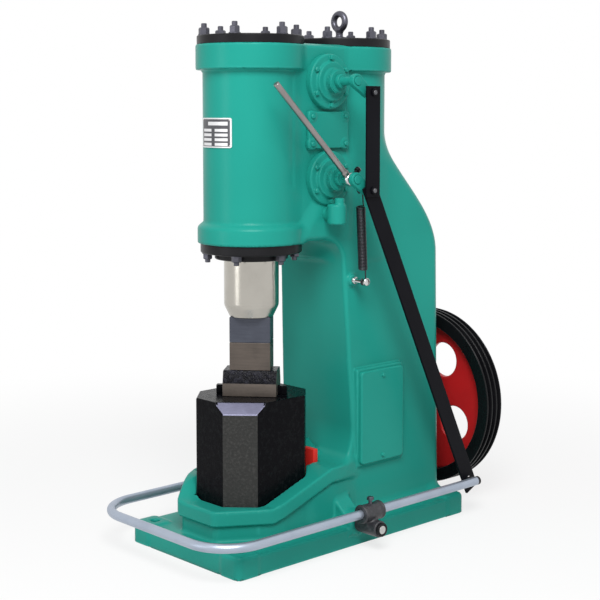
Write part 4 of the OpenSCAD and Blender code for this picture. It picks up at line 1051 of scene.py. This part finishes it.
def makeDataPlate():
    middle, low, high = middleOf("data_plate")
    d = dataPlate
    halfX, halfZ = (high.x - low.x) / 2, (high.z - low.z) / 2
    outer = casting["frontAxis"] - low.y
    rises = [math.sin(math.pi / 2 * k / d["cornerRows"]) for k in range(d["cornerRows"] + 1)]
    arcs = [halfZ - d["corner"] * (1 - rise) for rise in rises]
    flat = list(np.linspace(-arcs[0], arcs[0], d["rows"]))[1:-1]
    heights = [-h for h in reversed(arcs)] + flat + arcs

    def halfAt(height):                       # half width of the plate's outline at a height
        past = max(abs(height) - halfZ + d["corner"], 0)
        return halfX - d["corner"] + math.sqrt(max(d["corner"] ** 2 - past ** 2, 0))

    points, corners = [], []
    for radius in (casting["barrel"] - d["sunk"], outer):
        for height in heights:
            for k in range(d["columns"] + 1):
                x = halfAt(height) * (2 * k / d["columns"] - 1)
                angle = math.asin(x / outer)
                y = casting["frontAxis"] - radius * math.cos(angle)
                points.append((radius * math.sin(angle), y, middle.z + height))
    wide, tall = d["columns"] + 1, len(heights)
    half = wide * tall
    for layer in (0, half):
        for j in range(tall - 1):
            for k in range(wide - 1):
                first = layer + j * wide + k
                corners.append((first, first + 1, first + 1 + wide, first + wide))
    rim = list(range(wide)) + [j * wide + wide - 1 for j in range(1, tall)]
    rim += [(tall - 1) * wide + k for k in range(wide - 2, -1, -1)]
    rim += [j * wide for j in range(tall - 2, 0, -1)]
    for k, first in enumerate(rim):
        second = rim[(k + 1) % len(rim)]
        corners.append((first, second, second + half, first + half))
    mesh = addMesh("data_plate_mesh", points, corners)
    across = mesh.uv_layers.new(name="plate")
    for loop in mesh.loops:
        spot = mesh.vertices[loop.vertex_index].co
        across.data[loop.index].uv = ((spot.x + halfX) / (2 * halfX), (spot.z - low.z) / (2 * halfZ))
    addPiece("data_plate_shape", smoothed(mesh, 50), plateMetal, "data_plate", even=False)
    inX, inZ = halfX - d["rivetInset"], halfZ - d["rivetInset"]
    lean = math.asin(inX / outer)
    for side, label in ((-1, "left"), (1, "right")):
        aim = Vector((side * math.sin(lean), -math.cos(lean), 0))
        root = Vector((0, casting["frontAxis"], middle.z)) + aim * outer
        rivets = [root + Vector((0, 0, inZ)), root - Vector((0, 0, inZ))]
        addFasteners("data_plate_" + label + "_rivets", d["rivet"], shaftSteel, "data_plate", rivets, aim)


makeDataPlate()


# Spring stud and return spring
stud = {"bar": 0.006, "head": 0.0095, "headThick": 0.007, "headRound": 0.004, "tip": 0.002,
        "collar": 0.0085, "collarEnd": 0.127, "edge": 0.001}


def makeStud():
    middle, low, high = middleOf("spring_stud")
    s = stud
    long = high.x - low.x
    neck, collar, edge = long - s["headThick"], s["collarEnd"] - low.x, s["edge"]
    profile = eased([(s["collar"], 0), (s["collar"], collar), (s["bar"], collar), (s["bar"], neck),
                     (s["head"], neck), (s["head"], long), (s["tip"], long)],
                    [0, edge, edge, edge, edge, s["headRound"], 0])
    addTurned("spring_stud", profile, (low.x, middle.y, middle.z), (1, 0, 0), 40, chromeSteel)


spring = {
    "lowX": 0.152, "highX": 0.176, "radius": 0.0094, "wire": 0.0016, "lowHook": 0.030, "highHook": 0.040,
    "loop": 0.0079, "hookLead": 0.008, "hookSteps": 10, "pitch": 0.0035, "bendFrom": 0.026, "bendTo": 0.007,
}


def springHook(centre, along, side, start):   # wire from the coil's end round a pin
    loop, lead, steps = spring["loop"], start - spring["hookLead"], spring["hookSteps"]
    line = [centre + along * start + side * spring["radius"], centre + along * lead + side * loop]
    line += [centre + along * (lead * (1 - k / steps)) + side * loop for k in range(1, steps)]
    line += [centre + (side * math.cos(a) - along * math.sin(a)) * loop
             for a in (math.radians(15 * k) for k in range(18))]
    return line


def makeSpring():
    s = spring
    studMiddle, pinMiddle = middleOf("spring_stud")[0], middleOf("knee_pin")[0]
    low = Vector((s["lowX"], studMiddle.y, studMiddle.z))
    high = Vector((s["highX"], pinMiddle.y, pinMiddle.z))
    along = (high - low).normalized()
    side = along.cross(Vector((1, 0, 0))).normalized()
    long = (high - low).length - s["lowHook"] - s["highHook"]
    turns = float(round(long / s["pitch"]))
    values = {"Turns": turns, "Radius": s["radius"], "Wire": s["wire"], "Length": long,
              "Finish": springSteel}
    coil = growMesh("spring_coil_mesh", coilTree(), values)
    turn = Matrix((side, along.cross(side), along)).transposed().to_4x4()
    coil.transform(Matrix.Translation(low + along * s["lowHook"]) @ turn)
    lower = sweep("lower_hook", springHook(low, along, side, s["lowHook"]), s["wire"], 8)
    upper = sweep("upper_hook", springHook(high, -along, side, s["highHook"]), s["wire"], 8)
    mesh = smoothed(joinMeshes("return_spring_mesh", (coil, lower, upper)), 50)
    bend = ("frame", "lower_valve", high - along * s["bendFrom"], high - along * s["bendTo"])
    addPiece("return_spring_shape", mesh, springSteel, "return_spring", bend=bend)


makeStud()
makeSpring()


# Treadle hoop, its tees and pivot pins
hoop = {"half": 0.230, "leftEnd": 0.046, "height": 0.088, "pipe": 0.0105, "bore": 0.0083, "bend": 0.100,
        "cap": 0.008}
tee = {
    "sleeve": 0.020, "half": 0.031, "hub": 0.019, "edge": 0.003, "fillet": 0.007, "bead": 0.0215,
    "beadWidth": 0.006, "beadEdge": 0.0025, "beadFillet": 0.002, "cell": 0.0021, "pipeGap": 0.0002,
    "pin": 0.0114, "screwSunk": 0.001,
    "screw": {"Sides": 6, "Head": 0.0085, "Head Height": 0.0075, "Broken": 0.0015, "Washer": 0.0045,
              "Washer Height": 0.009, "Stud": 0.002, "Stud Height": 0.0},
}
pivot = {
    "pin": 0.011, "head": 0.016, "headThick": 0.006, "end": 0.0095, "dip": 0.0022, "dipSlope": 0.001,
    "endSlope": 0.0005, "endSunk": 0.0004, "core": 0.003, "bareDeep": 0.003, "bareReach": 0.0008,
    "edges": (0, 0, 0.001, 0.002, 0.0005, 0, 0, 0.001, 0),
}


def makeHoop():
    h = hoop
    low, high = middleOf("treadle_hoop")[1:]
    front, rearEnd, blackEndFrom = low.y + h["pipe"], high.y, high.y - h["cap"]
    corners = [(-h["half"], h["leftEnd"], h["height"]), (-h["half"], front, h["height"]),
               (h["half"], front, h["height"]), (h["half"], rearEnd, h["height"])]
    line = eased(corners, h["bend"], steps=16)
    line.insert(-1, Vector((h["half"], blackEndFrom, h["height"])))
    mesh = sweep("treadle_hoop_mesh", line, h["pipe"], 28, h["bore"])
    # The pipe's last few millimetres at its rear end are painted black.
    paintFaces(mesh, (pipeSteel, blackPaint), lambda normal, centre: 1 if centre.y > blackEndFrom else 0)
    addPiece("treadle_hoop_shape", smoothed(mesh), None, "treadle_hoop")


def makeTee(node, side):
    low, high = middleOf(node)[1:]
    pivotY, pivotZ = casting["lugAt"]
    beadHalf = tee["beadWidth"] / 2

    def teeField(x, y, z):
        y = y - pivotY
        across, up = np.abs(x) - hoop["half"], z - hoop["height"]
        sleeve = drumField(across, up, y, tee["sleeve"], -tee["half"], tee["half"], tee["edge"])
        for end in (-1, 1):
            at = end * (tee["half"] - beadHalf)
            bead = drumField(across, up, y, tee["bead"], at - beadHalf, at + beadHalf, tee["beadEdge"])
            sleeve = roundUnion(sleeve, bead, tee["beadFillet"])
        hub = drumField(y, z - pivotZ, x, tee["hub"], low.x, high.x, tee["edge"])
        solid = roundUnion(sleeve, hub, tee["fillet"])
        solid = np.maximum(solid, hoop["pipe"] + tee["pipeGap"] - np.hypot(across, up))
        return np.maximum(solid, tee["pin"] - np.hypot(y, z - pivotZ))

    addCast(node, teeField, low, high, tee["cell"], teeIron)
    top = Vector((side * hoop["half"], pivotY, hoop["height"] + tee["sleeve"] - tee["screwSunk"]))
    addFasteners(node + "_screw", tee["screw"], nutSteel, node, [top], (0, 0, 1))


def makePivotPin(node, side):
    middle, low, high = middleOf(node)
    p = pivot
    pin, head, end, long = p["pin"], p["head"], p["end"], high.x - low.x
    under, floor = long - p["headThick"], long - p["dip"]
    profile = eased([(pin, 0), (pin, under), (head, under), (head, long), (pin + p["dipSlope"], long),
                     (pin, floor), (end + p["endSlope"], floor), (end, long - p["endSunk"]),
                     (p["core"], long)], p["edges"])
    root = low.x if side > 0 else high.x
    mesh = lathe(node + "_mesh", profile, (root, middle.y, middle.z), (side, 0, 0), 44)
    tip = abs(root) + long - p["bareDeep"]

    def bright(normal, centre):               # the pin's end is bare, its ring is black
        reach = math.hypot(centre.y - middle.y, centre.z - middle.z)
        return 1 if abs(centre.x) > tip and reach < end + p["bareReach"] else 0

    paintFaces(mesh, (blackPaint, shaftSteel), bright)
    addPiece(node + "_shape", smoothed(mesh), None, node)


makeHoop()
for side, label in ((1, "right"), (-1, "left")):
    makeTee(label + "_tee", side)
    makePivotPin(label + "_pivot_pin", side)


# Anvil, wedges and dies
anvil = {"edge": 0.0028, "wedgeEdge": 0.0018, "dieEdge": 0.0014, "keyEdge": 0.001}


def anvilFinish(normal, centre):              # rough front facets, bright bevels over them
    if normal.y > -0.3 or abs(normal.x) < 0.3:
        return 0
    return 1 if abs(normal.z) < 0.2 else 2


def makeAnvil():
    mesh = chamferedCopy("anvil", anvil["edge"], 3)
    paintFaces(mesh, (anvilIron, facetIron, bevelSteel), anvilFinish)
    addPiece("anvil_shape", mesh, None, "anvil")
    addChamfered(("rear_wedge", "side_wedge"), anvil["wedgeEdge"], wedgePaint)
    lower = chamferedCopy("lower_die", anvil["dieEdge"])
    paintFaces(lower, (dieSteel, dieScale), lambda normal, centre: 1 if normal.z > 0.3 else 0)
    addPiece("lower_die_shape", lower, None, "lower_die")
    addChamfered(("upper_die",), anvil["dieEdge"], dieSteel)
    addChamfered(("lower_die_key", "upper_die_key"), anvil["keyEdge"], anvilIron)


makeAnvil()


# Ram and its shank
ram = {
    "nose": 0.050, "noseHeight": 0.027, "noseEdge": 0.004, "noseRound": 0.024, "topEdge": 0.003,
    "cap": 0.010, "low": 0.532, "turn": 41, "shank": (0.094, 0.062), "shankEdge": 0.0016,
    "shankSunk": 0.001, "keyHalf": 0.0081, "keyHeight": 0.0101,
}


def makeRam():
    r = ram
    middle, low, high = middleOf("ram")
    radius, top = (high.x - low.x) / 2, high.z - r["low"]
    cap = r["cap"]
    profile = eased([(cap, 0), (r["nose"], 0), (radius, r["noseHeight"]), (radius, top), (cap, top)],
                    [0, r["noseEdge"], r["noseRound"], r["topEdge"], 0], steps=6)
    body = lathe("ram_mesh", profile, (middle.x, middle.y, r["low"]), (0, 0, 1), 96)
    addPiece("ram_body", smoothed(body), ramSteel, "ram")
    half, deep, edge, key = r["shank"][0] / 2, r["shank"][1] / 2, r["shankEdge"], r["keyHalf"]
    foot, keyTop, shankTop = low.z, low.z + r["keyHeight"], r["low"] + r["shankSunk"]
    outline = eased([(-deep, foot), (-key, foot), (-key, keyTop), (key, keyTop), (key, foot), (deep, foot),
                     (deep, shankTop), (-deep, shankTop)], edge, closed=True, steps=2)
    cosine, sine = math.cos(math.radians(r["turn"])), math.sin(math.radians(r["turn"]))
    rings = []
    for reach, inset in ((-half, edge), (edge - half, 0), (half - edge, 0), (half, edge)):
        rings.append([(reach * cosine - u * sine, middle.y + reach * sine + u * cosine, v)
                      for u, v in insetOutline(outline, inset)])
    addPiece("ram_shank", smoothed(loft("shank_mesh", rings)), shankSteel, "ram")


makeRam()


# Bearing housing, flywheel and shaft
housing = {
    "bore": 0.0254, "flange": 0.024, "nose": 0.050, "edges": (0.0005, 0.001, 0.004, 0.006, 0.004, 0.001),
    "boltCircle": 0.061, "boltCount": 4, "boltFirst": 45,
    "bolt": {"Sides": 6, "Head": 0.0095, "Head Height": 0.009, "Broken": 0.0016, "Washer": 0.0105,
             "Washer Height": 0.002, "Stud": 0.002, "Stud Height": 0.0},
}
wheel = {
    "inner": 0.194, "innerEdge": 0.002, "outerEdge": 0.0021, "grooves": 3, "land": 0.004,
    "grooveDeep": 0.012, "slope": 17, "mouthEdge": 0.0008, "rootEdge": 0.001,
    "web": 0.018, "webEdge": 0.002, "hub": 0.048, "hubEdge": 0.004, "hubFillet": 0.010, "shaft": 0.0252,
    "hole": 0.044, "holeEdge": 0.004, "holeAt": 0.117, "holeTurn": 59, "holeCount": 4, "cell": 0.0042,
    "shaftTip": 0.002, "shaftEdges": (0, 0.001, 0.002, 0, 0), "centreHole": (0.006, 0.005),
    "nutEdge": 0.0015,
}


def makeHousing():
    middle, low, high = middleOf("bearing_housing")
    reach, long = (high.x - low.x) / 2, high.y - low.y
    bore, flange, nose = housing["bore"], housing["flange"], housing["nose"]
    profile = eased([(bore, 0), (reach, 0), (reach, flange), (nose, flange), (nose, long), (bore, long)],
                    housing["edges"], closed=True)
    centre = Vector((middle.x, low.y, middle.z))
    addTurned("bearing_housing", profile, centre, (0, 1, 0), 84, greenPaint, closed=True)
    face = centre + Vector((0, flange, 0))
    points = boltRing(face, (0, 1, 0), housing["boltCircle"], housing["boltCount"], housing["boltFirst"])
    addFasteners("bearing_housing_bolts", housing["bolt"], greenPaint, "bearing_housing", points, (0, 1, 0))


def makeRim():
    middle, low, high = middleOf("flywheel_rim")
    w = wheel
    reach, wide = (high.x - low.x) / 2, high.y - low.y
    pitch = (wide - w["land"]) / w["grooves"]
    mouth = (pitch - w["land"]) / 2
    root = mouth - w["grooveDeep"] * math.tan(math.radians(w["slope"]))
    corners, radii = [(w["inner"], 0), (reach, 0)], [w["innerEdge"], w["outerEdge"]]
    for k in range(w["grooves"]):
        at = wide / 2 + (k - (w["grooves"] - 1) / 2) * pitch
        corners += [(reach, at - mouth), (reach - w["grooveDeep"], at - root),
                    (reach - w["grooveDeep"], at + root), (reach, at + mouth)]
        radii += [w["mouthEdge"], w["rootEdge"], w["rootEdge"], w["mouthEdge"]]
    corners += [(reach, wide), (w["inner"], wide)]
    radii += [w["outerEdge"], w["innerEdge"]]
    profile = eased(corners, radii, closed=True)
    addTurned("flywheel_rim", profile, (0, low.y, middle.z), (0, 1, 0), 144, rimPaint, closed=True)


def makeWeb():
    middle, low, high = middleOf("flywheel_web")
    w = wheel
    reach = (high.x - low.x) / 2

    def webField(x, y, z):
        y, z = y - middle.y, z - middle.z
        disc = drumField(x, z, y, reach, -w["web"] / 2, w["web"] / 2, w["webEdge"])
        for k in range(w["holeCount"]):
            angle = math.radians(w["holeTurn"] + 360 * k / w["holeCount"])
            holeX, holeZ = w["holeAt"] * math.cos(angle), w["holeAt"] * math.sin(angle)
            disc = roundCut(disc, np.hypot(x - holeX, z - holeZ) - w["hole"], w["holeEdge"])
        hub = drumField(x, z, y, w["hub"], low.y - middle.y, high.y - middle.y, w["hubEdge"])
        return np.maximum(roundUnion(disc, hub, w["hubFillet"]), w["shaft"] - np.hypot(x, z))

    addCast("flywheel_web", webField, low, high, w["cell"], redPaint)


def makeShaft():
    middle, low, high = middleOf("crankshaft_end")
    reach, long = (high.x - low.x) / 2, high.y - low.y
    tip, (mouth, deep) = wheel["shaftTip"], wheel["centreHole"]
    profile = eased([(tip, 0), (reach, 0), (reach, long), (mouth, long), (tip, long - deep)],
                    wheel["shaftEdges"])
    addTurned("crankshaft_end", profile, (0, low.y, middle.z), (0, 1, 0), 48, shaftSteel)
    addChamfered(("flywheel_nut",), wheel["nutEdge"], nutSteel)


makeHousing()
makeRim()
makeWeb()
makeShaft()


# Valve spindles, cranks, hand lever and links
gear = {
    "spindle": 0.010, "spindleTip": 0.004, "collar": 0.016, "collarAt": (0.143, 0.154),
    "spindleEdges": (0, 0.001, 0.0005, 0.002, 0.002, 0.0008, 0.0015, 0),
    "hubBore": 0.0102, "hubEnd": 0.0115, "lever": 0.007, "leverRise": 43.5, "leverFrom": 0.0145,
    "leverLong": 0.307, "leverCore": 0.002, "neck": 0.0088, "neckLong": 0.008, "neckEnd": 0.012,
    "leverEdges": (0, 0.0005, 0.001, 0.002, 0.0016, 0),
    "screw": 0.007, "screwRise": 38, "screwStem": 0.0038, "screwFrom": 0.0145, "screwLong": 0.038,
    "screwHead": 0.009, "screwBare": 0.0025, "screwEdges": (0, 0.0003, 0.0003, 0.001, 0.002, 0),
    "pin": 0.006, "headThick": 0.005, "rivet": 0.0052, "rivetRise": 0.0018, "rivetPast": 0.0002,
    "pinEdges": (0, 0.0005, 0, 0.0006, 0.0012, 0.0003, 0.0012, 0),
    "tip": 0.001, "crankEdge": 0.002, "linkEdge": 0.001, "footPinEdge": 0.0008,
}


def makeSpindle(node):
    middle, low, high = middleOf(node)
    g = gear
    start, end = (at - low.x for at in g["collarAt"])
    long = high.x - low.x
    bar, collar, tip = g["spindle"], g["collar"], g["spindleTip"]
    profile = eased([(tip, 0), (bar, 0), (bar, start), (collar, start), (collar, end), (bar, end),
                     (bar, long), (tip, long)], g["spindleEdges"])
    addTurned(node, profile, (low.x, middle.y, middle.z), (1, 0, 0), 56, greenPaint)


def makeLever():
    g = gear
    middle, low, high = middleOf("lever_hub")
    half, reach = (high.x - low.x) / 2, (high.z - low.z) / 2
    crown = [(g["hubEnd"] + (reach - g["hubEnd"]) * math.cos(a), half + half * math.sin(a))
             for a in (math.radians(15 * k - 90) for k in range(13))]
    profile = [(g["hubBore"], 0)] + crown + [(g["hubBore"], 2 * half)]
    addTurned("lever_hub", profile, (low.x, middle.y, middle.z), (1, 0, 0), 56, chromeSteel, closed=True)
    rise = math.radians(g["leverRise"])
    foot, end, neck, radius = g["leverFrom"], g["leverLong"], g["neck"], g["lever"]
    bar = eased([(g["leverCore"], foot), (neck, foot), (neck, foot + g["neckLong"]),
                 (radius, foot + g["neckEnd"]), (radius, end), (g["tip"], end)], g["leverEdges"])
    addTurned("hand_lever", bar, middle, (0, -math.cos(rise), math.sin(rise)), 32, leverSteel)
    rise = math.radians(g["screwRise"])
    foot, end, stem, radius = g["screwFrom"], g["screwLong"], g["screwStem"], g["screw"]
    head = end - g["screwHead"]
    line = eased([(g["tip"], foot), (stem, foot), (stem, head), (radius, head), (radius, end),
                  (g["tip"], end)], g["screwEdges"])
    aim = Vector((0, math.cos(rise), math.sin(rise)))
    screw = lathe("lever_screw_mesh", line, middle, aim, 28)
    bareFrom = (Vector(middle) + aim * (end - g["screwBare"])).dot(aim)
    paintFaces(screw, (blackPaint, leverSteel),
               lambda normal, centre: 1 if centre.dot(aim) > bareFrom else 0)
    addPiece("lever_screw_shape", smoothed(screw), None, "lever_screw")


def makeLinkPin(node):                        # black head with a bare riveted end
    middle, low, high = middleOf(node)
    g = gear
    long, head = high.x - low.x, (high.z - low.z) / 2
    under, rivet = long - g["headThick"], g["rivet"]
    pin, tip, face = g["pin"], g["tip"], long - g["rivetRise"]
    profile = eased([(tip, 0), (pin, 0), (pin, under), (head, under), (head, face), (rivet, face),
                     (rivet, long), (tip, long)], g["pinEdges"])
    mesh = lathe(node + "_mesh", profile, (low.x, middle.y, middle.z), (1, 0, 0), 36)
    edge = rivet + g["rivetPast"]

    def bare(normal, centre):
        reach = math.hypot(centre.y - middle.y, centre.z - middle.z)
        return 1 if centre.x > high.x - g["rivetRise"] and reach < edge else 0

    paintFaces(mesh, (rodPaint, pinSteel), bare)
    addPiece(node + "_shape", smoothed(mesh), None, node)


def makeLinks():
    addChamfered(("upper_crank", "lower_crank"), gear["crankEdge"], greenPaint)
    addChamfered(("link_bar", "pull_rod"), gear["linkEdge"], rodPaint)
    addChamfered(("rod_foot_pin",), gear["footPinEdge"], pinSteel)
    for node in ("upper_crank_pin", "knee_pin"):
        makeLinkPin(node)


for node in ("upper_spindle", "lower_spindle"):
    makeSpindle(node)
makeLever()
makeLinks()


# Floor, light and camera
studio = {
    "worldLight": 0.38, "floorReach": 14.0, "floorColour": (0.88, 0.88, 0.88), "floorShade": 0.25,
    "shadeReach": (0.7, 2.2),
    "keyAt": (2.4, -2.2, 3.6), "keyWatts": 200, "keySize": (2.2, 2.2),
    "stripAt": (-0.7, -3.3, 1.0), "stripWatts": 12, "stripSize": (0.9, 1.7),
    "aim": (0.0, 0.0, 0.55),
    "lens": 80.159, "shiftY": -0.10, "heading": 46.957, "tilt": 5.493,
    "cameraAt": (2.30183, -2.16302, 1.0),
}


def seenShare(tree):                          # 1 where the camera, a mirror or glass looks
    path = tree.nodes.new("ShaderNodeLightPath")
    names = ("Is Camera Ray", "Is Glossy Ray", "Is Transmission Ray")
    rays = [Wire(tree, path.outputs[name]) for name in names]
    total = rays[0] + rays[1] + rays[2]
    return total.math("MINIMUM", total, 1.0)


def makeWorld():
    world = bpy.data.worlds.new("studio")
    bpy.context.scene.world = world
    world.use_nodes = True
    tree = world.node_tree
    tree.nodes.clear()
    output = tree.nodes.new("ShaderNodeOutputWorld")
    seen = seenShare(tree)
    strength = studio["worldLight"] + (1 - studio["worldLight"]) * seen
    sky = seen.make("ShaderNodeBackground", {}, {"Color": (1.0, 1.0, 1.0), "Strength": strength})
    tree.links.new(sky.socket, output.inputs["Surface"])


def makeFloor():
    half = studio["floorReach"] / 2
    mesh = bpy.data.meshes.new("floor_mesh")
    corners = [(-half, -half, 0), (half, -half, 0), (half, half, 0), (-half, half, 0)]
    mesh.from_pydata(corners, [], [(0, 1, 2, 3)])
    floor = bpy.data.objects.new("floor", mesh)
    bpy.context.scene.collection.objects.link(floor)
    material = bpy.data.materials.new("floor_white")
    material.use_nodes = True
    tree = material.node_tree
    tree.nodes.clear()
    output = tree.nodes.new("ShaderNodeOutputMaterial")
    seen = seenShare(tree)
    matt = seen.make("ShaderNodeBsdfDiffuse", {}, {"Color": studio["floorColour"]})
    glow = seen.make("ShaderNodeEmission", {}, {"Color": (1.0, 1.0, 1.0), "Strength": 1.0})
    place = seen.make("ShaderNodeTexCoord", out="Object")
    away = seen.make("ShaderNodeVectorMath", {"operation": "LENGTH"}, {0: place}, "Value")
    glowing = seen * (1 - studio["floorShade"] * (1 - away.step(*studio["shadeReach"])))
    mixed = seen.make("ShaderNodeMixShader", {}, {0: glowing, 1: matt, 2: glow})
    tree.links.new(mixed.socket, output.inputs["Surface"])
    mesh.materials.append(material)


def makeLamp(name, at, watts, size):
    lamp = bpy.data.lights.new(name, "AREA")
    lamp.energy = watts
    lamp.shape = "RECTANGLE"
    lamp.size, lamp.size_y = size
    holder = bpy.data.objects.new(name, lamp)
    bpy.context.scene.collection.objects.link(holder)
    holder.location = at
    holder.rotation_euler = (Vector(studio["aim"]) - Vector(at)).to_track_quat("-Z", "Y").to_euler()


def makeCamera():
    data = bpy.data.cameras.new("camera")
    data.sensor_width = 36
    data.lens = studio["lens"]
    data.shift_y = studio["shiftY"]
    camera = bpy.data.objects.new("camera", data)
    bpy.context.scene.collection.objects.link(camera)
    camera.location = studio["cameraAt"]
    camera.rotation_euler = (math.radians(90 - studio["tilt"]), 0, math.radians(studio["heading"]))
    bpy.context.scene.camera = camera


makeWorld()
makeFloor()
makeLamp("key_lamp", studio["keyAt"], studio["keyWatts"], studio["keySize"])
makeLamp("strip_lamp", studio["stripAt"], studio["stripWatts"], studio["stripSize"])
makeCamera()
bpy.context.scene.view_settings.view_transform = "Standard"
